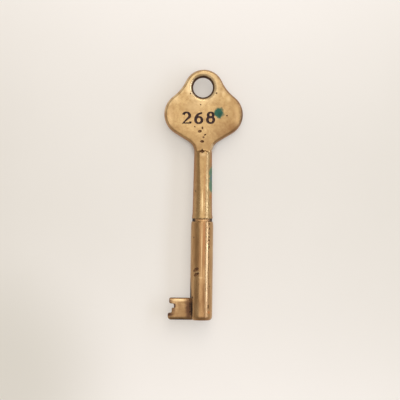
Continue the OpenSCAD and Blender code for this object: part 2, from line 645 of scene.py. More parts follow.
@dataclass(frozen=True)
class Effects:
    """The effects that the finishes share."""

    mottle: NodeTree
    edges: NodeTree
    patch: NodeTree
    specks: NodeTree

    @classmethod
    def build(cls) -> "Effects":
        """Returns the effects, each built once."""
        return cls(cls.make_mottle(), cls.make_edges(), cls.make_patch(), cls.make_specks())

    @staticmethod
    def make_mottle() -> NodeTree:
        """Makes tarnish that lies in broad clouds and in a finer grain.

        Returns:
            The effect's group.
        """
        broad_span = (0.3, 0.7)
        fine_span = (0.35, 0.72)
        fine_share = 0.17
        effect = SharedEffect("mottle", {"Place": "Vector", "Size": "Float"}, ("Broad", "Fine"))
        graph = effect.graph
        place = effect.given["Place"]
        size = effect.given["Size"]
        broad = graph.noise(place, size, detail=3, warp=0.4)
        fine = graph.noise(place, graph.times(size, fine_share), detail=5, warp=0.2)
        effect.give("Broad", graph.level(broad, broad_span))
        effect.give("Fine", graph.level(fine, fine_span))
        return effect.group

    @staticmethod
    def make_edges() -> NodeTree:
        """Makes masks of how far a place is a worn edge, and how far it is a recess.

        Returns:
            The effect's group.
        """
        even_face = 0.5
        break_size = 1.4
        break_span = (0.3, 0.7)
        least_share = 0.55
        bend_spans = {"Edge": (0.25, 1.0), "Recess": (-0.25, -1.0)}
        effect = SharedEffect("edges", {"Place": "Vector", "Reach": "Float"}, ("Edge", "Recess"))
        graph = effect.graph
        bend = graph.add("NewGeometry", {}).outputs["Pointiness"]
        bend = graph.calc("SUBTRACT", bend, even_face)
        bend = graph.calc("DIVIDE", bend, effect.given["Reach"])
        breaks = graph.noise(effect.given["Place"], break_size, detail=4)
        uneven = graph.level(breaks, break_span, (least_share, 1.0))
        for label, span in bend_spans.items():
            effect.give(label, graph.times(graph.level(bend, span), uneven))
        return effect.group

    @staticmethod
    def make_patch() -> NodeTree:
        """Makes the mask of a patch round a place, with a ragged border.

        Returns:
            The effect's group.
        """
        border_size = 0.9
        inputs = {"Place": "Vector", "Centre": "Vector", "Reach": "Vector"}
        inputs |= {"Ragged": "Float", "Soft": "Float"}
        effect = SharedEffect("patch", inputs, ("Mask",))
        graph = effect.graph
        place = effect.given["Place"]
        off = graph.vector("SUBTRACT", place, effect.given["Centre"])
        far = graph.measure("LENGTH", graph.vector("DIVIDE", off, effect.given["Reach"]))
        rough = graph.calc("SUBTRACT", graph.noise(place, border_size, detail=4, warp=0.5), NOISE_MIDDLE)
        far = graph.calc("ADD", far, graph.times(rough, effect.given["Ragged"]))
        inside = graph.calc("SUBTRACT", 1.0, far)
        effect.give("Mask", graph.calc("DIVIDE", inside, effect.given["Soft"], clamp=True))
        return effect.group

    @staticmethod
    def make_specks() -> NodeTree:
        """Makes the mask of scattered specks of dirt and casting pores.

        Returns:
            The effect's group.
        """
        cell_share = 0.35
        speck_span = (0.3, 0.12)
        inputs = {"Place": "Vector", "Size": "Float", "Share": "Float"}
        effect = SharedEffect("specks", inputs, ("Mask",))
        graph = effect.graph
        pitch = graph.calc("DIVIDE", cell_share, effect.given["Size"])
        cells = graph.add("TexVoronoi", {"Vector": effect.given["Place"], "Scale": pitch})
        lot = graph.add("SeparateColor", {0: cells.outputs["Color"]}).outputs[0]
        chosen = graph.calc("LESS_THAN", lot, effect.given["Share"])
        effect.give("Mask", graph.times(chosen, graph.level(cells.outputs["Distance"], speck_span)))
        return effect.group


@dataclass(frozen=True)
class Colour:
    """A colour in eight-bit display values."""

    red: int
    green: int
    blue: int

    def linear(self) -> tuple[float, float, float, float]:
        """Returns the colour as a shader reads it, by the usual curve of a display."""
        values = [v / 255 for v in (self.red, self.green, self.blue)]
        return (*(v / 12.92 if v <= 0.04045 else ((v + 0.055) / 1.055) ** 2.4 for v in values), 1.0)


@dataclass(frozen=True)
class Skin:
    """What a finish has come to so far."""

    colour: Source
    roughness: Source
    metal: Source


@dataclass(frozen=True)
class StainAndPaintedLight:
    """A patch of another colour on a finish: a stain, a painted highlight or painted shade.

    Its place and reach are in millimetres, and its height is measured from the key's axis.
    """

    centre: Point
    reach: Point
    colour: Colour
    roughness: float
    metal: float
    ragged: float = 0.5
    soft: float = 0.8
    strength: float = 1.0


class Coat:
    """A material in the making, with its graph and its shader."""

    def __init__(self, name: str) -> None:
        """Starts a plain material.

        Args:
            name: Name of the finish.
        """
        self.material = bpy.data.materials.new(name)
        self.material.use_nodes = True
        self.nodes = self.material.node_tree.nodes
        self.graph = Graph(self.material.node_tree)
        self.shader = self.nodes["Principled BSDF"]
        self.place = self.graph.place()

    def with_patch(self, skin: Skin, tint_spot: StainAndPaintedLight, patch: NodeTree, axis_z: float) -> Skin:
        """Lays a stain, a painted highlight or painted shade on a skin.

        Args:
            skin: The skin below the stain.
            tint_spot: The stain, painted highlight or painted shade.
            patch: The shared effect that shapes a patch.
            axis_z: Height of the key's axis.

        Returns:
            The skin with the patch on it.
        """
        graph = self.graph
        x, y, rise = tint_spot.centre
        inputs = {
            "Place": self.place,
            "Centre": (x, y, axis_z / MM + rise),
            "Reach": tint_spot.reach,
            "Ragged": tint_spot.ragged,
            "Soft": tint_spot.soft,
        }
        mask = graph.times(graph.effect(patch, inputs).outputs["Mask"], tint_spot.strength)
        return Skin(
            graph.blend(mask, skin.colour, tint_spot.colour.linear()),
            graph.level(mask, UNIT, (skin.roughness, tint_spot.roughness)),
            graph.level(mask, UNIT, (skin.metal, tint_spot.metal)),
        )

    def finished(self, skin: Skin, relief: Source, strength: float, depth: float) -> Material:
        """Sends the skin and a fine relief to the shader.

        Args:
            skin: The skin.
            relief: Height of the relief, from 0 to 1.
            strength: How strongly the relief shows.
            depth: How deep it is.

        Returns:
            The material.
        """
        bump = self.graph.add("Bump", {"Height": relief, "Strength": strength, "Distance": depth})
        self.graph.feed(self.shader.inputs["Base Color"], skin.colour)
        self.graph.feed(self.shader.inputs["Roughness"], skin.roughness)
        self.graph.feed(self.shader.inputs["Metallic"], skin.metal)
        self.graph.feed(self.shader.inputs["Normal"], bump.outputs["Normal"])
        return self.material


@dataclass(frozen=True)
class BrassFinish:
    """Aged brass: clouds of tarnish, dirt in the recesses, rubbed edges, stains and painted light."""

    name: str
    light: Colour
    dull: Colour
    brown: Colour
    dirt: Colour
    rubbed: Colour
    patch_size: float
    smooth: float
    rough: float
    line_stretch: Point
    stains_and_painted_light: tuple[StainAndPaintedLight, ...]
    stretch: Point = (1.0, 1.0, 1.0)
    edge_reach: float = 0.08
    edge_share: float = 0.4
    brown_share: float = 0.4
    speck_size: float = 0.4
    speck_share: float = 0.05
    line_span: Span = (0.45, 0.75)
    line_share: float = 0.25
    line_depth: float = 0.008 * MM
    gloss_span: Span = (0.4, 0.7)
    gloss_change: Span = (-0.03, 0.05)
    dirt_metal: float = 0.6

    def material(self, effects: Effects, axis_z: float) -> Material:
        """Makes the finish.

        Args:
            effects: The shared effects.
            axis_z: Height of the key's axis.

        Returns:
            The material.
        """
        coat = Coat(self.name)
        graph = coat.graph
        drawn = graph.vector("MULTIPLY", coat.place, self.stretch)
        mottle = graph.effect(effects.mottle, {"Place": drawn, "Size": self.patch_size}).outputs
        edges = graph.effect(effects.edges, {"Place": coat.place, "Reach": self.edge_reach}).outputs
        scatter = {"Place": coat.place, "Size": self.speck_size, "Share": self.speck_share}
        specks = graph.effect(effects.specks, scatter).outputs["Mask"]
        lines = graph.noise(graph.vector("MULTIPLY", coat.place, self.line_stretch), size=1.0, detail=2)
        dirty = graph.calc("MAXIMUM", edges["Recess"], specks)
        colour = graph.blend(mottle["Broad"], self.light.linear(), self.dull.linear())
        layers = (
            (graph.times(mottle["Fine"], self.brown_share), self.brown),
            (graph.level(lines, self.line_span, (0.0, self.line_share)), self.brown),
            (graph.times(edges["Edge"], self.edge_share), self.rubbed),
            (dirty, self.dirt),
        )
        for share, tint in layers:
            colour = graph.blend(share, colour, tint.linear())
        roughness = graph.level(mottle["Broad"], UNIT, (self.smooth, self.rough))
        roughness = graph.calc("ADD", roughness, graph.level(lines, self.gloss_span, self.gloss_change))
        skin = Skin(colour, roughness, graph.level(dirty, UNIT, (1.0, self.dirt_metal)))
        for tint_spot in self.stains_and_painted_light:
            skin = coat.with_patch(skin, tint_spot, effects.patch, axis_z)
        relief = graph.times(graph.calc("ADD", mottle["Fine"], lines), 0.5)
        return coat.finished(skin, relief, strength=1.0, depth=self.line_depth)


@dataclass(frozen=True)
class CrustFinish:
    """Dark dirt and old flux, grainy and without shine."""

    name: str
    dark: Colour
    light: Colour
    grain: float
    metal: float
    roughness: float
    stains_and_painted_light: tuple[StainAndPaintedLight, ...] = ()
    unevenness: float = 0.1
    relief: float = 0.6
    relief_depth: float = 0.04 * MM

    def material(self, effects: Effects, axis_z: float) -> Material:
        """Makes the finish.

        Args:
            effects: The shared effects.
            axis_z: Height of the key's axis.

        Returns:
            The material.
        """
        coat = Coat(self.name)
        graph = coat.graph
        mottle = graph.effect(effects.mottle, {"Place": coat.place, "Size": self.grain}).outputs
        colour = graph.blend(mottle["Broad"], self.dark.linear(), self.light.linear())
        spread = (self.roughness - self.unevenness, self.roughness + self.unevenness)
        skin = Skin(colour, graph.level(mottle["Fine"], UNIT, spread), self.metal)
        for tint_spot in self.stains_and_painted_light:
            skin = coat.with_patch(skin, tint_spot, effects.patch, axis_z)
        return coat.finished(skin, mottle["Fine"], strength=self.relief, depth=self.relief_depth)


@dataclass(frozen=True)
class KeyFrame:
    """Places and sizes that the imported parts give. Heights are measured from the key's axis."""

    axis_z: float
    open_y: float
    tube_top_y: float
    shoulder_y: float
    bow_top_y: float
    bow_half_w: float
    barrel_r: float
    groove_r: float
    bit_tip_x: float
    bit_low_y: float
    bit_high_y: float
    bit_t: float
    ring: Vector
    ring_r: float
    post_r: float
    spigot_y: float

    @classmethod
    def from_cad(cls, record: dict) -> "KeyFrame":
        """Reads the frame.

        Args:
            record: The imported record, for its mounts.

        Returns:
            The places and sizes.
        """
        tube, bow, ring, bit = (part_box(node) for node in ("barrel", "bow", "neck_braze", "bit"))
        mounts = {mount["name"]: mount for mount in record["mounts"]}
        return cls(
            axis_z=(tube[0].z + tube[1].z) / 2,
            open_y=tube[0].y,
            tube_top_y=tube[1].y,
            shoulder_y=ring[1].y,
            bow_top_y=bow[1].y,
            bow_half_w=bow[1].x,
            barrel_r=(tube[1].z - tube[0].z) / 2,
            groove_r=ring[1].x,
            bit_tip_x=bit[0].x,
            bit_low_y=bit[0].y,
            bit_high_y=bit[1].y,
            bit_t=bit[1].z - bit[0].z,
            ring=flat(*mounts["ring_hole"]["pos_m"][:2]),
            ring_r=mounts["ring_hole"]["dims"]["r_mm"] * MM,
            post_r=mounts["post_bore"]["dims"]["r_mm"] * MM,
            spigot_y=bow[0].y,
        )

    def place(self, obj: Object, slot: str, *nodes: str) -> None:
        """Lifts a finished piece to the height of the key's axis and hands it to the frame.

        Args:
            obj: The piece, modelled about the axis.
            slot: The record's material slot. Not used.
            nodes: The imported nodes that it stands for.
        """
        obj.location.z = self.axis_z
        settle(obj)
        bpy.ops.object.shade_smooth_by_angle(angle=SMOOTH_ANGLE)
        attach(obj, BODY)
        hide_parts(*nodes)
        log.info("%s: %d faces for %s", obj.name, len(obj.data.polygons), ", ".join(nodes))


@dataclass(frozen=True)
class Punch:
    """One figure of the stamped number, struck by a punch of its own and so never quite in line."""

    figure: Figure
    x: float
    y: float
    tilt: float
    height: float = 2.9 * MM
    thick: float = 0.44 * MM
    thin: float = 0.29 * MM
    sunk: float = 0.1 * MM
    flatness: float = 0.6
    roundness: int = 2
    bowl_r: float = 0.29

    @staticmethod
    def ring(middle: Vector, radius: float) -> Object:
        """Returns a stroke that goes all the way round."""
        return Pen("stroke", middle + flat(radius, 0)).arc(middle, math.radians(360)).lift()

    def strokes(self) -> list[Object]:
        """Draws the figure on a body of unit height that stands on the X axis.

        Returns:
            Its strokes, as wires.
        """
        if self.figure is Figure.TWO:
            bowl = flat(0.36, 0.7)
            pen = Pen("stroke", bowl + self.bowl_r * ray(math.radians(165)))
            pen.arc(bowl, math.radians(-195))
            pen.line(flat(0.05, 0.02), flat(0.7, 0.02), flat(0.72, 0.16))
            return [pen.lift()]
        if self.figure is Figure.SIX:
            stem = flat(0.7, 0.32)
            stem_r = 0.64
            back = Pen("stroke", stem + stem_r * ray(math.radians(94))).arc(stem, math.radians(86)).lift()
            return [back, self.ring(flat(0.36, 0.3), self.bowl_r)]
        return [self.ring(flat(0.375, 0.74), 0.23), self.ring(flat(0.36, 0.29), self.bowl_r)]

    def thicken(self, wire: Object) -> None:
        """Makes a stroke solid, thick up and down and thin across.

        Args:
            wire: The stroke.
        """
        with editing(wire):
            bpy.ops.mesh.remove_doubles(threshold=MERGE)
        take(wire)
        bpy.ops.object.convert(target="CURVE")
        curve = wire.data
        curve.bevel_depth = 1.0
        curve.bevel_resolution = self.roundness
        curve.use_fill_caps = True
        for spline in curve.splines:
            spots = [point.co.xyz for point in spline.points]
            last = len(spots) - 1
            for i, point in enumerate(spline.points):
                way = (spots[min(i + 1, last)] - spots[max(i - 1, 0)]).normalized()
                stroke = self.thin + (self.thick - self.thin) * abs(way.y)
                point.radius = stroke / self.height
        bpy.ops.object.convert(target="MESH")
        clean(wire)

    def tool(self, face_z: float, finish: Material) -> Object:
        """Makes the punch.

        Args:
            face_z: Height of the face that it strikes.
            finish: Finish of the struck walls.

        Returns:
            The punch, at its place.
        """
        made, *others = self.strokes()
        for wire in (made, *others):
            self.thicken(wire)
        for other in others:
            work(made, other, Join.ADD)
        made.scale = (self.height, self.height, self.height * self.flatness)
        made.rotation_euler.z = self.tilt
        made.location = (self.x, self.y, face_z - self.sunk)
        settle(made)
        cover(made, finish)
        return made


@dataclass
class BowCasting:
    """The cast bow with its ring hole, its tapered neck and the spigot that goes into the tube.

    Each pit is given by its X, Y, width and length in millimetres and its turn.
    """

    key: KeyFrame
    thickness: float = 3.2 * MM
    edge_w: float = 0.75 * MM
    edge_steps: int = 6
    crown: float = 0.07
    eye_r: float = 5.28 * MM
    eye_rise: float = 6.67 * MM
    lobe_r: float = 5.9 * MM
    lobe_rise: float = 10.15 * MM
    shoulder_r: float = 11.2 * MM
    fillet_r: float = 3.3 * MM
    root_l: float = 1.0 * MM
    root_lap: float = 0.05 * MM
    neck_top_r: float = 2.4 * MM
    neck_foot_r: float = 2.63 * MM
    flare_r: float = 2.81 * MM
    flare_l: float = 1.4 * MM
    nose_l: float = 0.8 * MM
    flat_depth: float = 0.26 * MM
    flat_end_y: float = 0.8 * MM
    ring_edge: float = 0.55 * MM
    lip_w: float = 0.42 * MM
    lip_drop: float = 0.21 * MM
    ring_close: float = 0.03 * MM
    wear: Wear = Wear(grain=0.14 * MM, passes=8, dents=Dents(depth=0.025 * MM, size=5 * MM))
    number: tuple[Punch, ...] = (
        Punch(Figure.TWO, -5.55 * MM, 18.98 * MM, 0.02),
        Punch(Figure.SIX, -2.35 * MM, 19.05 * MM, -0.03),
        Punch(Figure.EIGHT, 0.85 * MM, 19.1 * MM, 0.03),
    )
    pits: tuple[tuple[float, float, float, float, float], ...] = (
        (-2.3, 18.1, 0.4, 0.35, 0.2),
        (-0.26, 17.8, 0.5, 0.75, 0.0),
        (-0.95, 16.9, 1.15, 0.7, 0.2),
        (0.43, 16.0, 0.7, 0.42, 0.5),
        (-0.29, 14.2, 1.15, 0.7, 0.0),
        (3.36, 27.1, 0.5, 0.4, 0.3),
        (-0.81, 24.0, 0.35, 0.4, 0.0),
        (-3.56, 26.9, 0.35, 0.35, 0.0),
        (6.22, 21.15, 0.5, 0.4, 0.4),
    )
    pit_depth: float = 0.2 * MM
    nose_pit: Point = (-0.28 * MM, 11.9 * MM, 1.35 * MM)
    nose_pit_r: float = 1.2 * MM
    nose_pit_h: float = 0.8 * MM
    nose_pit_stretch: Point = (0.8, 1.5, 1.0)

    @property
    def eye(self) -> Vector:
        """Centre of the eye, the round top of the bow."""
        return flat(0, self.key.bow_top_y - self.eye_r)

    @property
    def lobe(self) -> Vector:
        """Centre of the right lobe."""
        return flat(self.key.bow_half_w - self.lobe_r, self.eye.y - self.eye_rise)

    @property
    def neck_top_y(self) -> float:
        """Height of the top of the neck."""
        return self.lobe.y - self.lobe_rise

    def hollow_centre(self) -> Vector:
        """Finds the hollow that touches the eye and the right lobe.

        Returns:
            Its centre.
        """
        to_lobe = self.lobe - self.eye
        near = self.eye_r + self.shoulder_r
        far = self.lobe_r + self.shoulder_r
        along = (near**2 - far**2 + to_lobe.length**2) / (2 * to_lobe.length)
        step = to_lobe.normalized()
        return self.eye + step * along + flat(-step.y, step.x) * math.sqrt(near**2 - along**2)

    def plate(self) -> Object:
        """Models the lobed plate of the bow: half an outline, mirrored, then drawn in to a rounded edge.

        Returns:
            The plate.
        """
        root_x = self.neck_top_r - self.root_lap
        fillet = flat(root_x + self.fillet_r, self.neck_top_y)
        down = fillet - self.lobe
        flank = heading(down) + math.acos((self.lobe_r + self.fillet_r) / down.length)
        hollow = self.hollow_centre()
        lobe_end = heading(hollow - self.lobe)
        eye_start = heading(hollow - self.eye)
        pen = Pen("bow_casting", flat(root_x, self.neck_top_y - self.root_l))
        pen.line(flat(root_x, self.neck_top_y))
        pen.arc(fillet, flank)
        pen.line(self.lobe + self.lobe_r * ray(flank))
        pen.arc(self.lobe, lobe_end - flank)
        pen.arc(hollow, eye_start - lobe_end)
        pen.arc(self.eye, math.pi / 2 - eye_start)
        made = pen.lift()
        apply_modifier(made, "MIRROR", use_axis=Mirror.SIDE.value, merge_threshold=MIRROR_MERGE)
        with editing(made):
            bpy.ops.mesh.edge_face_add()
            bpy.ops.mesh.normals_make_consistent(inside=False)
            turns = [math.pi / 2 * k / self.edge_steps for k in range(self.edge_steps + 1)]
            for here, there in zip(turns, turns[1:]):
                bpy.ops.mesh.inset(
                    thickness=self.edge_w * (math.cos(here) - math.cos(there)),
                    depth=self.thickness / 2 * (math.sin(there) - math.sin(here)),
                )
        apply_modifier(made, "MIRROR", use_axis=Mirror.FACE.value, merge_threshold=MIRROR_MERGE)
        clean(made)
        return made

    def neck(self) -> Object:
        """Models the neck with its flared foot and spigot, and a worn flat that dies out down each face.

        Returns:
            The neck.
        """
        key = self.key
        outline = (
            (SPIGOT_R, key.spigot_y),
            (SPIGOT_R, key.shoulder_y),
            (self.flare_r, key.shoulder_y),
            (self.neck_foot_r, key.shoulder_y + self.flare_l),
            (self.neck_top_r, self.neck_top_y),
            (self.thickness / 2 - self.root_lap, self.neck_top_y + self.nose_l),
            (0, self.neck_top_y + self.nose_l),
        )
        pen = Pen("neck", flat(0, key.spigot_y))
        pen.line(*(flat(r, y) for r, y in outline))
        made = pen.turned(Vector(), Axis.Y)
        taper = (self.neck_foot_r - self.neck_top_r) / (self.neck_top_y - key.shoulder_y - self.flare_l)
        fall = taper + self.flat_depth / (self.neck_top_y - self.flat_end_y)
        for face in Face:
            top_z = face.value * (self.neck_top_r - self.flat_depth)
            slice_off(made, (0, self.neck_top_y, top_z), (0, fall, face.value))
        clean(made)
        return made

    def ring_tool(self) -> Object:
        """Makes the cutter for the ring hole, which widens at both faces and has a rubbed lip.

        Returns:
            The cutter.
        """
        key = self.key
        half = self.thickness / 2
        top = half + 3 * self.lip_drop
        wide = key.ring_r + self.ring_edge
        side = (
            (wide + 2 * self.lip_w, top),
            (wide + self.lip_w, half),
            (wide, half - self.lip_drop),
            (key.ring_r - self.ring_close, half - self.ring_edge - self.lip_drop),
        )
        outline = [(r, -z) for r, z in side] + [(r, z) for r, z in reversed(side)]
        pen = Pen("ring_tool", key.ring + Vector((0, 0, -top)))
        pen.line(*(key.ring + Vector((r, 0, z)) for r, z in outline), key.ring + Vector((0, 0, top)))
        return pen.turned(key.ring, Axis.Z)

    def crowned(self, made: Object) -> None:
        """Thins the bow towards its sides, so that both faces are a little crowned.

        Args:
            made: The casting.
        """
        mesh = bmesh.new()
        mesh.from_mesh(made.data)
        for vertex in mesh.verts:
            if vertex.co.y > self.neck_top_y:
                vertex.co.z *= 1 - self.crown * (vertex.co.x / self.key.bow_half_w) ** 2
        mesh.to_mesh(made.data)
        mesh.free()

    def build(self) -> Object:
        """Models the whole casting.

        Returns:
            The casting, worn but not yet stamped.
        """
        made = self.plate()
        work(made, self.neck(), Join.ADD)
        work(made, self.ring_tool(), Join.CUT)
        self.wear.apply(made)
        self.crowned(made)
        return made

    def nose_tool(self, finish: Material) -> Object:
        """Makes the three-sided punch that left a mark where the neck runs into the bow.

        Args:
            finish: Finish of the mark's walls.

        Returns:
            The punch.
        """
        deselect()
        bpy.ops.mesh.primitive_cone_add(vertices=3, radius1=self.nose_pit_r, radius2=0, depth=self.nose_pit_h)
        made = named("nose_tool")
        made.rotation_euler = (0, math.pi, 0)
        made.scale = self.nose_pit_stretch
        made.location = self.nose_pit
        made.location.z += self.nose_pit_h / 2
        settle(made)
        cover(made, finish)
        return made

    def dress(self, made: Object, brass: Material, struck: Material, dirt: Material) -> None:
        """Gives the casting its finish, then its number and its pits.

        Args:
            made: The casting.
            brass: Its finish.
            struck: Finish of the number.
            dirt: Finish of the pits.
        """
        cover(made, brass)
        face_z = self.thickness / 2 - self.wear.dents.depth / 2
        flaws = [
            Flaw((x * MM, y * MM, face_z), (width * MM, length * MM, self.pit_depth), turn)
            for x, y, width, length, turn in self.pits
        ]
        tools = [punch.tool(face_z, struck) for punch in self.number]
        tools += pebbles(flaws, dirt)
        tools.append(self.nose_tool(dirt))
        work(made, joined(tools, "strike"), Join.CUT)


@dataclass
class BarrelTube:
    """The drawn tube with its bore, the slot for the bit and the seam that is closed with braze.

    The pits follow the seam, with their places along the key in millimetres. Each nick is given by its angle
    in degrees and by its place along the key, width and length in millimetres.
    """

    key: KeyFrame
    crown_w: float = 0.2 * MM
    crown_l: float = 2.0 * MM
    mouth_w: float = 0.7 * MM
    mouth_l: float = 1.2 * MM
    lead_in: float = 0.25 * MM
    socket_step: float = 0.3 * MM
    curve_steps: int = 8
    seam_angle: float = math.radians(39)
    seam_w: float = 0.3 * MM
    seam_reach: float = 4 * MM
    wear: Wear = Wear(grain=0.14 * MM, passes=5, dents=Dents(depth=0.02 * MM, size=6 * MM))
    pit_ys: tuple[float, ...] = (-7.7, -9.0, -10.1, -11.2, -12.1, -13.0, -13.85)
    pit_size: Point = (0.42 * MM, 0.6 * MM, 0.22 * MM)
    pit_wander: float = 2.0
    pit_beat: float = 2.3
    mouth_pit_y: float = -29.7
    mouth_pit_size: Point = (0.4 * MM, 1.1 * MM, 0.2 * MM)
    nicks: tuple[tuple[float, float, float, float], ...] = ((-31, -19.85, 2.5, 0.8), (-28, -21.15, 2.2, 0.75))
    nick_depth: float = 0.2 * MM
    nick_turn: float = 0.45

    def quarter(self, centre: Vector, width: float, length: float, start: float) -> list[Vector]:
        """Returns points of a quarter of an ellipse, turning anticlockwise.

        Args:
            centre: Centre of the ellipse.
            width: Half its size across.
            length: Half its size along the key.
            start: Angle of its first point.

        Returns:
            The points.
        """
        turns = [start + math.pi / 2 * k / self.curve_steps for k in range(self.curve_steps + 1)]
        return [centre + flat(width * math.cos(a), length * math.sin(a)) for a in turns]

    def wall(self) -> Object:
        """Turns the plain tube from its wall.

        Returns:
            The tube.
        """
        key = self.key
        socket_r = key.post_r + self.socket_step
        low = key.open_y
        top = key.tube_top_y
        mouth = flat(key.barrel_r - self.mouth_w, low + self.mouth_l)
        crown = flat(key.barrel_r - self.crown_w, top - self.crown_l)
        pen = Pen("barrel_tube", flat(socket_r, top))
        pen.line(
            flat(socket_r, key.spigot_y),
            flat(key.post_r, key.spigot_y),
            flat(key.post_r, low + self.lead_in),
            flat(key.post_r + self.lead_in, low),
            *self.quarter(mouth, self.mouth_w, self.mouth_l, -math.pi / 2),
            *self.quarter(crown, self.crown_w, self.crown_l, 0),
            flat(socket_r, top),
        )
        return pen.turned(Vector(), Axis.Y)

    def seam_slab(self) -> Object:
        """Makes the slab that stands in the seam, from the axis outwards.

        Returns:
            The slab.
        """
        key = self.key
        half = self.seam_w / 2
        low = Vector((-half, key.open_y - OVERCUT, 0))
        made = block("seam_slab", low, Vector((half, key.tube_top_y + OVERCUT, self.seam_reach)))
        made.rotation_euler.y = self.seam_angle
        settle(made)
        return made

    def build(self) -> tuple[Object, Object]:
        """Models the worn tube and the strip of braze in its seam, without their pits.

        Returns:
            The tube and the strip.
        """
        key = self.key
        half = key.bit_t / 2
        made = self.wall()
        low = Vector((key.bit_tip_x, key.open_y - OVERCUT, -half))
        work(made, block("slot_tool", low, Vector((0, key.bit_high_y, half))), Join.CUT)
        self.wear.apply(made)
        seam = copy_of(made, "seam_strip")
        slab = self.seam_slab()
        work(seam, slab, Join.KEEP_COMMON, keep_tool=True)
        work(made, slab, Join.CUT)
        return made, seam

    def seam_pits(self) -> list[Flaw]:
        """Lays out the pits along the seam.

        Returns:
            The pits.
        """
        radius = self.key.barrel_r
        made = []
        for k, y in enumerate(self.pit_ys):
            angle = self.seam_angle + math.radians(self.pit_wander * math.sin(self.pit_beat * k))
            made.append(Flaw.on_round(radius, angle, y * MM, self.pit_size))
        made.append(Flaw.on_round(radius, self.seam_angle, self.mouth_pit_y * MM, self.mouth_pit_size))
        return made

    def front_nicks(self) -> list[Flaw]:
        """Lays out the two nicks on the front of the tube.

        Returns:
            The nicks.
        """
        made = []
        for angle, y, width, length in self.nicks:
            size = (width * MM, length * MM, self.nick_depth)
            made.append(Flaw.on_round(self.key.barrel_r, math.radians(angle), y * MM, size, self.nick_turn))
        return made

    def dress(self, tube: Object, seam: Object, brass: Material, dirt: Material) -> None:
        """Gives the tube and its seam, which is rubbed to the same look, their finish, pits and nicks.

        Args:
            tube: The tube.
            seam: The strip of braze.
            brass: Finish of both.
            dirt: Finish of the pits.
        """
        cover(tube, brass)
        cover(seam, brass)
        pit_tool = joined(pebbles(self.seam_pits(), dirt), "pit_tool")
        work(tube, pit_tool, Join.CUT, keep_tool=True)
        work(seam, pit_tool, Join.CUT)
        work(tube, joined(pebbles(self.front_nicks(), dirt), "nick_tool"), Join.CUT)


@dataclass
class PlainPiece:
    """A piece of the key that has one finish all over."""

    key: KeyFrame

    def dress(self, made: Object, finish: Material) -> None:
        """Gives the piece its finish."""
        cover(made, finish)


@dataclass
class NeckBraze(PlainPiece):
    """The ring of braze in the groove between the neck and the tube."""

    hollow: float = 0.06 * MM
    hollow_steps: int = 8
    lumps: Dents = Dents(depth=0.03 * MM, size=1.1 * MM)

    def build(self) -> Object:
        """Models the ring, with a hollow and uneven outside.

        Returns:
            The ring.
        """
        key = self.key
        low = key.tube_top_y
        wide = key.shoulder_y - low
        pen = Pen("neck_braze_ring", flat(SPIGOT_R, low))
        for k in range(self.hollow_steps + 1):
            share = k / self.hollow_steps
            sunk = self.hollow * math.sin(math.pi * share)
            pen.line(flat(key.groove_r - sunk, low + wide * share))
        pen.line(flat(SPIGOT_R, low + wide), flat(SPIGOT_R, low))
        made = pen.turned(Vector(), Axis.Y)
        self.lumps.press(made)
        return made


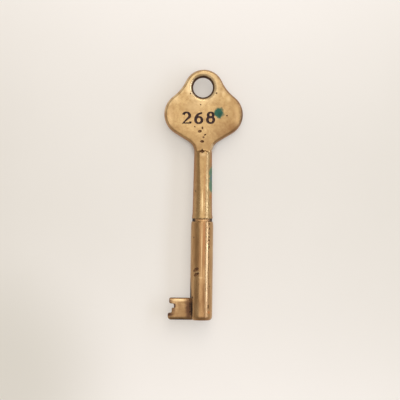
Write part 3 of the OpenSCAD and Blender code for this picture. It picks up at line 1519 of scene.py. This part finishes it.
@dataclass
class BitPlate(PlainPiece):
    """The notched bit, with its root in the tube's slot."""

    prong_step: float = 0.36 * MM
    prong_h: float = 1.85 * MM
    notch_h: float = 2.5 * MM
    notch_deep: float = 1.65 * MM
    notch_shallow: float = 1.05 * MM
    upper_cut_h: float = 1.2 * MM
    cut_step_r: float = 0.22 * MM
    ledge: float = 0.04 * MM
    notch_r: float = 0.4 * MM
    corner_r: float = 0.45 * MM
    heel_r: float = 0.9 * MM
    edge_w: float = 0.42 * MM
    edge_steps: int = 4
    facet_w: float = 0.9 * MM
    facet_slope: float = math.radians(25)
    wear: Wear = Wear(grain=0.1 * MM, passes=4, dents=Dents(depth=0.03 * MM, size=2 * MM))

    def plate(self, name: str, corners: tuple[Point, ...], half: float) -> Object:
        """Models a plate with rounded corners, which lies evenly about the key's middle plane.

        Args:
            name: Name of the new object.
            corners: X and Y of each corner and the radius of its rounding. The first one is sharp.
            half: Half of its thickness.

        Returns:
            The plate.
        """
        spots = [Vector((x, y, -half)) for x, y, _ in corners]
        pen = Pen(name, spots[0])
        for k in range(1, len(corners)):
            pen.corner(spots[k], spots[(k + 1) % len(spots)], corners[k][2])
        return drawn_through(pen.filled(), Vector((0, 0, 2 * half)))

    def facet(self, made: Object) -> None:
        """Files a sloping facet along the upper and lower edge of both faces.

        Args:
            made: The plain plate.
        """
        key = self.key
        slope = math.sin(self.facet_slope)
        rise = math.cos(self.facet_slope)
        for face in Face:
            for y, way in ((key.bit_high_y - self.facet_w, 1), (key.bit_low_y + self.facet_w, -1)):
                slice_off(made, (0, y, face.value * key.bit_t / 2), (0, way * slope, face.value * rise))
        clean(made)

    def bore_tool(self) -> Object:
        """Makes the cutter for the bore, which runs through the root.

        Returns:
            The cutter.
        """
        key = self.key
        low = key.bit_low_y - OVERCUT
        high = key.bit_high_y + OVERCUT
        pen = Pen("bore_tool", flat(0, low))
        pen.line(flat(key.post_r, low), flat(key.post_r, high), flat(0, high))
        return pen.turned(Vector(), Axis.Y)

    def build(self) -> Object:
        """Models the worn bit: an outline, drawn through, with rubbed long edges, the bore and a deeper cut.

        Returns:
            The bit.
        """
        key = self.key
        tip = key.bit_tip_x
        low = key.bit_low_y
        high = key.bit_high_y
        notch_low = low + self.prong_h
        notch_high = notch_low + self.notch_h
        corners = (
            (0, low, 0),
            (0, high, 0),
            (tip + self.prong_step, high, self.corner_r),
            (tip + self.prong_step, notch_high, self.corner_r),
            (tip + self.notch_shallow, notch_high, self.cut_step_r),
            (tip + self.notch_shallow, notch_low, self.notch_r),
            (tip, notch_low, self.corner_r),
            (tip, low, self.heel_r),
        )
        made = self.plate("bit_plate", corners, key.bit_t / 2)
        self.facet(made)
        rounding = {"width": self.edge_w, "segments": self.edge_steps}
        apply_modifier(made, "BEVEL", **rounding, limit_method="ANGLE", angle_limit=SHARP_ANGLE)
        work(made, self.bore_tool(), Join.CUT)
        mouth = tip + self.notch_shallow - self.notch_r
        cut_low = notch_high - self.upper_cut_h
        cut_high = notch_high - self.ledge
        upper_cut = (
            (mouth, cut_low, 0),
            (tip + self.notch_deep, cut_low, self.cut_step_r),
            (tip + self.notch_deep, cut_high, self.notch_r),
            (mouth, cut_high, 0),
        )
        work(made, self.plate("upper_cut_tool", upper_cut, key.bit_t), Join.CUT)
        self.wear.apply(made)
        return made


@dataclass
class BitBraze(PlainPiece):
    """The two fillets of braze between the bit's faces and the tube."""

    leg: float = 0.7 * MM
    rise: float = 0.6 * MM
    clear: float = 1.2 * MM
    root_in: float = 0.5 * MM
    sag: float = 0.3
    sink: float = 0.08 * MM
    knee_share: float = 0.7
    knee_rise: float = 0.1
    wear: Wear = Wear(grain=0.1 * MM, passes=3, dents=Dents(depth=0.08 * MM, size=0.9 * MM))

    def build(self) -> Object:
        """Models both fillets: hollow wedges that are drawn along the corner, made lumpy and mirrored.

        Returns:
            The fillets, as one object.
        """
        key = self.key
        half = key.bit_t / 2
        low = key.bit_low_y + self.clear
        top_z = half + self.rise
        foot = Vector((-math.sqrt(key.barrel_r**2 - half**2) - self.leg, low, half - self.sink))
        top = Vector((-math.sqrt(key.barrel_r**2 - top_z**2), low, top_z))
        root = Vector((-key.post_r - self.root_in, low, half - self.sink))
        middle = (foot + top) / 2
        sunk = middle + (root - middle) * self.sag
        knee = foot * (1 - self.knee_share) + sunk * self.knee_share - (sunk - middle) * self.knee_rise
        pen = Pen("bit_braze_fillets", root)
        pen.line(foot, knee, sunk, top, root)
        made = drawn_through(pen.filled(), Vector((0, key.bit_high_y - low, 0)))
        self.wear.apply(made)
        apply_modifier(made, "MIRROR", use_axis=Mirror.FACE.value, use_mirror_merge=False)
        clean(made)
        return made


@dataclass(frozen=True)
class Softbox:
    """A flat lamp that faces the key. It hangs over +X at a tilt from straight up and is turned round Z."""

    name: str
    tilt: float
    distance: float
    width: float
    length: float
    level: float
    tint: Colour
    along: float = 0.0
    turn: float = 0.0

    def set_up(self) -> None:
        """Hangs the lamp. Its level is the brightness of its face, where 1 shows as white."""
        deselect()
        place = Vector((self.distance * math.sin(self.tilt), self.along, self.distance * math.cos(self.tilt)))
        place.rotate(Matrix.Rotation(self.turn, 3, "Z"))
        bpy.ops.object.light_add(type="AREA", location=place, rotation=(0, self.tilt, self.turn))
        lamp = named(self.name).data
        lamp.shape = "RECTANGLE"
        lamp.size = self.width
        lamp.size_y = self.length
        lamp.energy = math.pi * self.width * self.length * self.level
        lamp.color = self.tint.linear()[:3]


OVERHEAD_PANEL = Softbox(
    "overhead_panel",
    tilt=math.radians(5),
    distance=0.8,
    width=0.96,
    length=1.1,
    level=1.0,
    tint=Colour(255, 251, 246),
    along=0.3,
)
RIGHT_STRIP = Softbox(
    "right_strip",
    tilt=math.radians(57),
    distance=0.75,
    width=0.16,
    length=1.1,
    level=4.6,
    tint=Colour(218, 232, 255),
    along=0.2,
)
TOP_WINDOW = Softbox(
    "top_window",
    tilt=math.radians(54),
    distance=0.9,
    width=0.32,
    length=0.6,
    level=2.4,
    tint=Colour(255, 250, 240),
    turn=math.radians(80),
)


@dataclass
class Studio:
    """Pale floor, soft lamps, even surroundings and a camera that looks straight down.

    Places on the paper, the size of its clouds and the band below the bow are in millimetres.
    """

    key: KeyFrame
    floor_size: float = 6.0
    floor_cells: int = 8
    paper: Colour = Colour(253, 248, 243)
    shade: Colour = Colour(221, 216, 206)
    paper_rough: float = 0.9
    paper_gloss: float = 0.1
    fade: float = 75.0
    # Painted light and shade on the paper: palest at its far and near ends, and shaded in one corner
    bend: Point = (-0.0066, 0.0135, 0.0)
    dark_corner: Point = (-58.0, -58.0, 0.0)
    corner_span: Span = (8.0, 46.0)
    corner_drop: float = 80.0
    cloud_size: float = 40.0
    cloud_change: float = 6.0
    glow_share: float = 0.43
    # Painted contact shadow: below the bow, the glow is taken away where the paper is occluded within this
    # distance
    contact: float = 2.5 * MM
    contact_span: Span = (0.95, 0.5)
    band_low: Span = (9.5, 12.0)
    band_high: Span = (21.0, 17.0)
    horizon: Colour = Colour(238, 232, 226)
    above: Colour = Colour(180, 173, 164)
    sky_span: Span = (0.08, 0.3)
    lens_distance: float = 0.5
    view_width: float = 106.75 * MM
    sensor: float = 36.0
    aim: tuple[float, float] = (-0.665 * MM, -1.375 * MM)
    roll: float = 0.013
    lamps: tuple[Softbox, ...] = (OVERHEAD_PANEL, RIGHT_STRIP, TOP_WINDOW)

    def paper_colour(self, coat: Coat) -> NodeSocket:
        """Makes the paper's colour with painted light and shade: palest at its far and near ends, and with
        painted shade in one corner.

        Args:
            coat: The paper's material in the making.

        Returns:
            The colour.
        """
        graph = coat.graph
        squared = graph.vector("MULTIPLY", coat.place, coat.place)
        across = graph.measure("DOT_PRODUCT", squared, self.bend)
        corner = graph.measure("DISTANCE", coat.place, self.dark_corner)
        across = graph.calc("ADD", across, graph.level(corner, self.corner_span, (-self.corner_drop, 0.0)))
        clouds = graph.noise(coat.place, self.cloud_size, detail=3)
        across = graph.calc("ADD", across, graph.level(clouds, UNIT, (-self.cloud_change, self.cloud_change)))
        share = graph.level(across, (-self.fade, self.fade))
        return graph.blend(share, self.shade.linear(), self.paper.linear())

    def glow(self, coat: Coat) -> NodeSocket:
        """Finds how much of the paper's look is a glow: none where the bow nearly touches it from above,
        which paints a deeper contact shadow in a band below the bow.

        Args:
            coat: The paper's material in the making.

        Returns:
            The share of the glow, for what is seen directly, in a reflection or through a piece.
        """
        graph = coat.graph
        path = graph.add("LightPath", {}).outputs
        seen = graph.calc("MAXIMUM", path["Is Camera Ray"], path["Is Glossy Ray"])
        seen = graph.calc("MAXIMUM", seen, path["Is Transmission Ray"])
        bare = graph.add("AmbientOcclusion", {"Distance": self.contact}).outputs["AO"]
        y = graph.add("SeparateXYZ", {0: coat.place}).outputs["Y"]
        below_bow = graph.times(graph.level(y, self.band_low), graph.level(y, self.band_high))
        hidden = graph.times(graph.level(bare, self.contact_span), below_bow)
        return graph.times(seen, graph.level(hidden, UNIT, (self.glow_share, 0.0)))

    def floor(self) -> None:
        """Lays the paper floor."""
        deselect()
        cells = self.floor_cells
        bpy.ops.mesh.primitive_grid_add(x_subdivisions=cells, y_subdivisions=cells, size=self.floor_size)
        made = named("paper_floor")
        coat = Coat("pale_paper")
        graph = coat.graph
        colour = self.paper_colour(coat)
        graph.feed(coat.shader.inputs["Base Color"], colour)
        graph.feed(coat.shader.inputs["Roughness"], self.paper_rough)
        graph.feed(coat.shader.inputs["Specular IOR Level"], self.paper_gloss)
        glowing = graph.add("Emission", {"Color": colour, "Strength": 1.0}).outputs[0]
        mixed = graph.add("MixShader", {0: self.glow(coat), 1: coat.shader.outputs[0], 2: glowing})
        graph.feed(coat.nodes["Material Output"].inputs["Surface"], mixed.outputs[0])
        cover(made, coat.material)

    def surroundings(self) -> None:
        """Sets the even surroundings, which are palest at the horizon."""
        world = bpy.data.worlds.new("studio")
        bpy.context.scene.world = world
        world.use_nodes = True
        graph = Graph(world.node_tree)
        way = graph.add("TexCoord", {}).outputs["Generated"]
        rise = graph.add("SeparateXYZ", {0: way}).outputs["Z"]
        colour = graph.blend(graph.level(rise, self.sky_span), self.horizon.linear(), self.above.linear())
        graph.feed(world.node_tree.nodes["Background"].inputs["Color"], colour)

    def camera(self) -> None:
        """Hangs the camera over the key and makes it the scene's own."""
        deselect()
        place = (*self.aim, self.key.axis_z + self.lens_distance)
        bpy.ops.object.camera_add(location=place, rotation=(0, 0, self.roll))
        made = bpy.context.object
        made.data.sensor_width = self.sensor
        made.data.lens = self.sensor * self.lens_distance / self.view_width
        bpy.context.scene.camera = made

    def set_up(self) -> None:
        """Sets up the whole studio."""
        self.floor()
        self.surroundings()
        for lamp in self.lamps:
            lamp.set_up()
        self.camera()
        bpy.context.scene.view_settings.view_transform = "Standard"
        log.info("studio: %d lamps", len(self.lamps))


VERDIGRIS = Colour(42, 98, 78)
DARK_VERDIGRIS = Colour(26, 70, 58)
PALE_VERDIGRIS = Colour(84, 118, 92)
SLATE = Colour(88, 112, 118)
RUST = Colour(196, 118, 52)
# Rubbed brass, also laid as painted highlights on the bow's lobes and along the top of the barrel
RUBBED_AND_HIGHLIGHT = Colour(240, 208, 160)
CREAM = Colour(232, 206, 160)
RED_BROWN = Colour(164, 106, 70)
BROWN = Colour(122, 84, 52)
ROOT_BROWN = Colour(104, 70, 48)
UPPER_EDGE_SHADE = Colour(96, 64, 44)
PRONG_SHADE = Colour(88, 56, 40)
LOWER_EDGE_SHADE = Colour(74, 50, 38)
RING_DIRT_AND_SHADE = Colour(86, 59, 40)
# Tarnish, also laid as painted shade on the bow's lower edge and at the sides of the neck's braze ring
TARNISH_AND_SHADE = Colour(52, 35, 26)
STRUCK_DIRT = CrustFinish(
    "struck_dirt", dark=Colour(46, 26, 26), light=Colour(80, 50, 44), grain=0.5, metal=0.2, roughness=0.65
)
PIT_DIRT = CrustFinish(
    "pit_dirt", dark=Colour(84, 54, 32), light=Colour(134, 94, 58), grain=0.5, metal=0.6, roughness=0.5
)
BIT_BRAZE = CrustFinish(
    "bit_braze", dark=Colour(58, 42, 36), light=Colour(132, 94, 64), grain=1.1, metal=0.8, roughness=0.48
)


def bow_stains_and_painted_light(ring: Vector) -> tuple[StainAndPaintedLight, ...]:
    """Lists the stains and the painted highlights and shade of the bow and the neck, from the lowest to the
    one on top.

    Args:
        ring: Middle of the ring hole.

    Returns:
        The stains and the painted light.
    """
    ring_x = ring.x / MM
    ring_y = ring.y / MM
    return (
        # Browned rim and dark right side
        StainAndPaintedLight(
            (0.0, 12.0, 0.0), (60.0, 60.0, 1.58), RED_BROWN, 0.45, 0.9,
            ragged=0.2, soft=0.35, strength=0.6,
        ),
        StainAndPaintedLight((10.5, 20.4, 0.0), (1.4, 5.0, 2.5), TARNISH_AND_SHADE, 0.5, 0.7, ragged=0.4, soft=0.5, strength=0.6),
        # Light and brown clouds round the ring hole and on the lobes, with painted highlights left of the
        # ring hole and on both lobes
        StainAndPaintedLight((4.0, 27.6, 1.5), (1.0, 2.6, 1.2), BROWN, 0.35, 1.0, ragged=0.4, strength=0.16),
        # Painted highlight left of the ring hole, beside its lip
        StainAndPaintedLight((-4.1, 28.3, 1.5), (0.9, 2.6, 1.2), CREAM, 0.3, 1.0, strength=0.75),
        # Painted highlight down the left lobe
        StainAndPaintedLight((-8.9, 20.8, 1.6), (1.0, 4.5, 1.0), RUBBED_AND_HIGHLIGHT, 0.28, 1.0, soft=0.9, strength=0.25),
        StainAndPaintedLight((6.2, 21.0, 1.6), (2.4, 4.5, 1.5), BROWN, 0.4, 0.95, ragged=0.6, soft=1.0, strength=0.25),
        # Painted highlight down the right lobe
        StainAndPaintedLight((8.8, 21.0, 1.6), (0.8, 4.0, 1.0), RUBBED_AND_HIGHLIGHT, 0.28, 1.0, soft=0.9, strength=0.2),
        StainAndPaintedLight((0.0, ring_y, 1.6), (5.2, 5.2, 1.4), CREAM, 0.28, 1.0, soft=0.5, strength=0.65),
        StainAndPaintedLight((-2.4, 23.5, 1.6), (3.2, 2.4, 1.4), CREAM, 0.3, 1.0, ragged=0.6, soft=0.9, strength=0.3),
        StainAndPaintedLight((-7.4, 25.4, 1.4), (1.5, 1.6, 1.2), CREAM, 0.3, 1.0, soft=0.9, strength=0.4),
        StainAndPaintedLight((3.9, 24.5, 1.6), (2.4, 1.9, 1.4), BROWN, 0.4, 0.95, ragged=0.6, soft=0.9, strength=0.25),
        # Streaks down the neck: painted shade on its left flank, a painted darker band and painted highlights
        # along its top, and a dark spot
        # Painted shade down the left flank of the neck
        StainAndPaintedLight((-2.2, 2.0, 1.6), (1.7, 12.0, 3.0), RED_BROWN, 0.4, 1.0, ragged=0.4, soft=0.5, strength=0.25),
        # Painted darker band between the highlights along the top of the neck
        StainAndPaintedLight((0.5, 2.0, 2.5), (0.4, 10.0, 1.0), RED_BROWN, 0.3, 1.0, strength=0.4),
        # Painted highlight along the top of the lower neck, partly a rubbed line
        StainAndPaintedLight((-0.05, -1.8, 2.6), (0.2, 3.4, 1.0), CREAM, 0.2, 1.0, ragged=0.4, soft=0.5, strength=0.9),
        # Painted highlight where the neck runs into the bow
        StainAndPaintedLight((0.0, 10.7, 2.1), (1.0, 0.7, 1.0), CREAM, 0.25, 1.0, soft=0.7, strength=0.5),
        StainAndPaintedLight((-1.85, 1.0, 1.7), (0.28, 0.4, 0.8), TARNISH_AND_SHADE, 0.5, 0.6, ragged=0.6, soft=0.6, strength=0.6),
        # Browned lower half of the bow
        StainAndPaintedLight((6.0, 15.5, 1.6), (6.5, 5.0, 1.5), BROWN, 0.4, 0.95, soft=1.0, strength=0.65),
        StainAndPaintedLight((0.0, 13.0, 1.6), (6.0, 4.0, 1.5), BROWN, 0.4, 0.95, soft=1.0, strength=0.35),
        # Darker lower edge of the bow: tarnish with painted shade
        StainAndPaintedLight((0.0, 14.3, -0.6), (9.0, 3.6, 2.0), TARNISH_AND_SHADE, 0.5, 0.7, ragged=0.25, soft=0.35, strength=0.5),
        StainAndPaintedLight((-8.0, 17.3, 1.2), (1.6, 2.6, 1.2), BROWN, 0.45, 0.9, ragged=0.3, strength=0.25),
        # Rim of the shoulders: a painted highlight on the left and painted shade on the right
        *(
            StainAndPaintedLight((x, y, 1.4), (1.2, 1.7, 1.6), CREAM, 0.3, 1.0, ragged=0.3, strength=0.7)
            for x, y in ((-10.4, 22.9), (-9.4, 25.0), (-7.7, 26.7), (-6.1, 28.4), (-5.0, 30.4))
        ),
        *(
            StainAndPaintedLight((x, y, 1.4), (1.2, 1.7, 1.6), BROWN, 0.4, 0.9, ragged=0.3, strength=0.4)
            for x, y in ((10.2, 22.9), (9.2, 24.8), (7.8, 26.5), (6.5, 27.9))
        ),
        # Painted highlights on the right shoulder
        StainAndPaintedLight((6.6, 25.5, 1.6), (0.8, 1.0, 1.2), CREAM, 0.3, 1.0, ragged=0.4, strength=0.4),
        StainAndPaintedLight((5.2, 27.2, 1.6), (0.7, 1.2, 1.2), CREAM, 0.3, 1.0, ragged=0.4, strength=0.4),
        StainAndPaintedLight((8.2, 17.4, 1.2), (1.8, 2.6, 1.2), BROWN, 0.45, 0.9, ragged=0.3, strength=0.6),
        # Painted highlight on the lip of the ring hole, and dirt with painted shade on its wall
        StainAndPaintedLight(
            (ring_x + 0.2, ring_y, 1.6), (3.9, 3.7, 1.2), CREAM, 0.5, 0.2,
            ragged=0.25, soft=0.25, strength=0.7,
        ),
        StainAndPaintedLight((ring_x, ring_y + 0.06, 0.0), (3.22, 3.22, 50.0), RING_DIRT_AND_SHADE, 0.5, 0.6, ragged=0.12, soft=0.07),
        # Verdigris beside the number
        StainAndPaintedLight((4.1, 21.85, 1.6), (1.5, 1.6, 1.0), VERDIGRIS, 0.8, 0.0, ragged=0.9, soft=0.35),
        StainAndPaintedLight(
            (4.3, 21.5, 1.6), (0.9, 0.8, 1.0), DARK_VERDIGRIS, 0.8, 0.0,
            ragged=0.9, soft=0.7, strength=0.7,
        ),
        # Verdigris down the right of the neck
        *(
            StainAndPaintedLight((3.0, y, 0.8), (1.7, reach, 2.6), PALE_VERDIGRIS, 0.7, 0.1, ragged=0.6, soft=0.3)
            for y, reach in ((6.1, 1.9), (4.2, 2.7), (2.3, 1.9))
        ),
        StainAndPaintedLight((3.0, 6.3, 0.2), (1.4, 0.9, 1.6), DARK_VERDIGRIS, 0.8, 0.1, ragged=0.9, strength=0.6),
        StainAndPaintedLight((3.0, 2.4, 0.4), (1.4, 1.0, 1.4), DARK_VERDIGRIS, 0.8, 0.1, ragged=0.9, strength=0.5),
        StainAndPaintedLight((3.0, 4.6, 0.8), (1.4, 1.5, 2.6), SLATE, 0.7, 0.1, soft=0.6),
        # A painted highlight on the right fillet of the neck, and rusty spots
        StainAndPaintedLight((2.5, 12.4, 1.2), (0.6, 1.7, 0.9), CREAM, 0.3, 0.6, ragged=0.3, soft=0.7, strength=0.7),
        StainAndPaintedLight((2.0, -0.4, 1.2), (0.6, 1.0, 0.8), RUST, 0.5, 0.6, ragged=0.8, soft=0.7, strength=0.7),
        StainAndPaintedLight((2.0, 9.1, 1.0), (0.5, 0.8, 0.8), RUST, 0.5, 0.6, ragged=0.8, soft=0.7, strength=0.4),
    )


def cast_brass(key: KeyFrame) -> BrassFinish:
    """Lays down the finish of the bow: handled brass with verdigris and a dark ring hole.

    Args:
        key: Places on the key.

    Returns:
        The finish.
    """
    return BrassFinish(
        "cast_brass",
        light=Colour(200, 170, 122),
        dull=Colour(182, 150, 104),
        brown=Colour(150, 112, 73),
        dirt=Colour(92, 64, 42),
        rubbed=Colour(240, 208, 156),
        patch_size=6.0,
        smooth=0.26,
        rough=0.36,
        line_stretch=(1.6, 1.6, 1.6),
        stains_and_painted_light=bow_stains_and_painted_light(key.ring),
        brown_share=0.3,
        speck_size=0.5,
        speck_share=0.04,
    )


def neck_braze(key: KeyFrame) -> CrustFinish:
    """Lays down the finish of the ring of braze: light on the front and back, with painted shade at the
    sides.

    Args:
        key: Places on the key.

    Returns:
        The finish.
    """
    y = (key.tube_top_y + key.shoulder_y) / 2 / MM
    return CrustFinish(
        "neck_braze",
        dark=Colour(170, 130, 90),
        light=Colour(204, 162, 114),
        grain=0.8,
        metal=1.0,
        roughness=0.32,
        stains_and_painted_light=(
            # Painted shade at both sides of the ring
            StainAndPaintedLight((-2.7, y, 0.0), (1.7, 3.0, 4.0), TARNISH_AND_SHADE, 0.6, 0.3, soft=0.5),
            StainAndPaintedLight((2.7, y, 0.0), (1.6, 3.0, 4.0), TARNISH_AND_SHADE, 0.6, 0.3, soft=0.5),
        ),
    )


DRAWN_BRASS = BrassFinish(
    "drawn_brass",
    light=Colour(198, 162, 116),
    dull=Colour(174, 136, 94),
    brown=Colour(150, 108, 72),
    dirt=Colour(86, 60, 40),
    rubbed=Colour(236, 206, 156),
    patch_size=3.0,
    smooth=0.22,
    rough=0.34,
    line_stretch=(4.0, 0.25, 4.0),
    stains_and_painted_light=(
        # Streaks along the front, with painted highlights along the top and the right and painted darker
        # bands beside them
        StainAndPaintedLight((0.2, -13.0, 2.9), (1.3, 13.0, 1.5), BROWN, 0.3, 1.0, ragged=0.4, soft=0.7, strength=0.25),
        # Painted highlight along the right of the tube
        StainAndPaintedLight((1.3, -19.0, 2.6), (0.36, 15.5, 1.0), CREAM, 0.26, 1.0, ragged=0.25, soft=0.9, strength=0.4),
        # Painted shade beside that highlight
        StainAndPaintedLight((1.75, -21.0, 2.4), (0.3, 14.5, 1.0), BROWN, 0.3, 1.0, ragged=0.25, soft=0.9, strength=0.4),
        StainAndPaintedLight((-0.2, -24.0, 2.9), (0.9, 2.6, 1.0), BROWN, 0.3, 1.0, ragged=0.4, soft=0.9, strength=0.25),
        # Painted highlight along the top, partly a rubbed line
        StainAndPaintedLight((-0.05, -15.0, 2.9), (0.2, 10.0, 1.0), RUBBED_AND_HIGHLIGHT, 0.2, 1.0, soft=0.6, strength=0.45),
        # Painted darker band between the highlights, in two lengths
        StainAndPaintedLight((0.56, -12.0, 2.8), (0.42, 9.0, 1.0), RED_BROWN, 0.3, 1.0, strength=0.7),
        StainAndPaintedLight((0.56, -27.0, 2.8), (0.42, 5.5, 1.0), BROWN, 0.3, 1.0, strength=0.7),
        # Darker open end and rubbed spots beside the nicks
        StainAndPaintedLight((-0.6, -30.0, 2.5), (2.6, 7.5, 2.0), BROWN, 0.4, 0.95, soft=1.0, strength=0.6),
        StainAndPaintedLight((-1.1, -30.6, 2.7), (0.8, 3.0, 1.0), RUBBED_AND_HIGHLIGHT, 0.35, 1.0, soft=0.9, strength=0.25),
        StainAndPaintedLight((-1.0, -20.55, 2.7), (0.8, 0.22, 1.0), RUBBED_AND_HIGHLIGHT, 0.3, 1.0, soft=0.6, strength=0.7),
        StainAndPaintedLight((-0.2, -22.0, 2.9), (0.9, 0.3, 1.0), RUBBED_AND_HIGHLIGHT, 0.3, 1.0, ragged=0.6, soft=0.6, strength=0.25),
        # Dirt at the root of the bit, and the darker mouth
        StainAndPaintedLight((-2.9, -29.0, 0.0), (1.2, 7.5, 2.0), TARNISH_AND_SHADE, 0.6, 0.4, ragged=0.4, soft=0.4),
        StainAndPaintedLight((-2.5, -30.4, 1.5), (0.4, 3.4, 1.2), TARNISH_AND_SHADE, 0.6, 0.4, ragged=0.6, soft=0.5),
        StainAndPaintedLight((0.0, -33.5, 0.0), (3.4, 1.7, 6.0), BROWN, 0.45, 0.9, ragged=0.8, strength=0.9),
        StainAndPaintedLight((2.0, -31.2, 2.0), (0.5, 0.6, 0.8), RUST, 0.5, 0.6, ragged=0.8, soft=0.7, strength=0.8),
    ),
    stretch=(1.0, 0.22, 1.0),
)
FILED_BRASS = BrassFinish(
    "filed_brass",
    light=Colour(184, 152, 111),
    dull=Colour(163, 130, 91),
    brown=Colour(148, 106, 70),
    dirt=Colour(86, 60, 40),
    rubbed=Colour(244, 212, 162),
    patch_size=2.5,
    smooth=0.26,
    rough=0.38,
    line_stretch=(5.0, 0.8, 5.0),
    stains_and_painted_light=(
        # Browned faces, dark towards the root
        StainAndPaintedLight((-5.0, -30.3, 0.0), (9.0, 9.0, 1.0), BROWN, 0.45, 0.9, ragged=0.3, strength=0.8),
        StainAndPaintedLight((-3.2, -30.3, 1.2), (1.5, 5.0, 1.5), ROOT_BROWN, 0.5, 0.7, ragged=0.9, soft=0.7),
        # Painted highlight and painted shade along the top edge
        StainAndPaintedLight((-6.0, -28.1, 1.1), (2.4, 0.5, 1.0), CREAM, 0.25, 1.0, ragged=0.3, soft=0.6, strength=0.55),
        StainAndPaintedLight((-6.0, -27.3, 0.8), (4.5, 0.6, 1.6), UPPER_EDGE_SHADE, 0.5, 0.8, ragged=0.3, soft=0.5, strength=0.8),
        # Dirt and painted shade round the notch, and painted shade on the prongs and along the lower edge
        StainAndPaintedLight((-7.4, -30.4, 1.2), (0.6, 1.5, 1.5), ROOT_BROWN, 0.5, 0.7, ragged=0.7, soft=0.6, strength=0.6),
        StainAndPaintedLight((-7.1, -29.6, 1.2), (0.5, 0.8, 1.5), PRONG_SHADE, 0.5, 0.7, ragged=0.6, soft=0.6),
        StainAndPaintedLight((-8.5, -31.9, 1.2), (1.6, 0.7, 1.5), PRONG_SHADE, 0.5, 0.7, ragged=0.6, soft=0.7),
        StainAndPaintedLight((-5.5, -33.3, 1.0), (4.5, 0.6, 1.5), LOWER_EDGE_SHADE, 0.5, 0.7, soft=0.7),
        # Painted shade on the rounded end of the upper prong
        StainAndPaintedLight((-8.6, -28.5, 1.2), (1.1, 0.9, 1.5), ROOT_BROWN, 0.5, 0.7, ragged=0.6, soft=0.7, strength=0.8),
    ),
    edge_reach=0.09,
)


def main() -> None:
    """Builds the key's pieces in order, then the studio round them."""
    logging.basicConfig(level=logging.INFO, format="%(message)s")
    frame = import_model()
    key = KeyFrame.from_cad(frame["record"])
    effects = Effects.build()
    dirt = PIT_DIRT.material(effects, key.axis_z)
    struck = STRUCK_DIRT.material(effects, key.axis_z)

    bow = BowCasting(key)
    casting = bow.build()
    bow.dress(casting, cast_brass(key).material(effects, key.axis_z), struck, dirt)
    key.place(casting, "cast_brass", "bow")

    barrel = BarrelTube(key)
    tube, seam = barrel.build()
    barrel.dress(tube, seam, DRAWN_BRASS.material(effects, key.axis_z), dirt)
    key.place(tube, "drawn_brass", "barrel")
    key.place(seam, "braze", "barrel_seam")

    plain_pieces = (
        (NeckBraze(key), neck_braze(key), "braze", "neck_braze"),
        (BitPlate(key), FILED_BRASS, "filed_brass", "bit"),
        (BitBraze(key), BIT_BRAZE, "braze", "bit_braze"),
    )
    for piece, finish, slot, node in plain_pieces:
        made = piece.build()
        piece.dress(made, finish.material(effects, key.axis_z))
        key.place(made, slot, node)

    Studio(key).set_up()


if __name__ == "__main__":
    main()
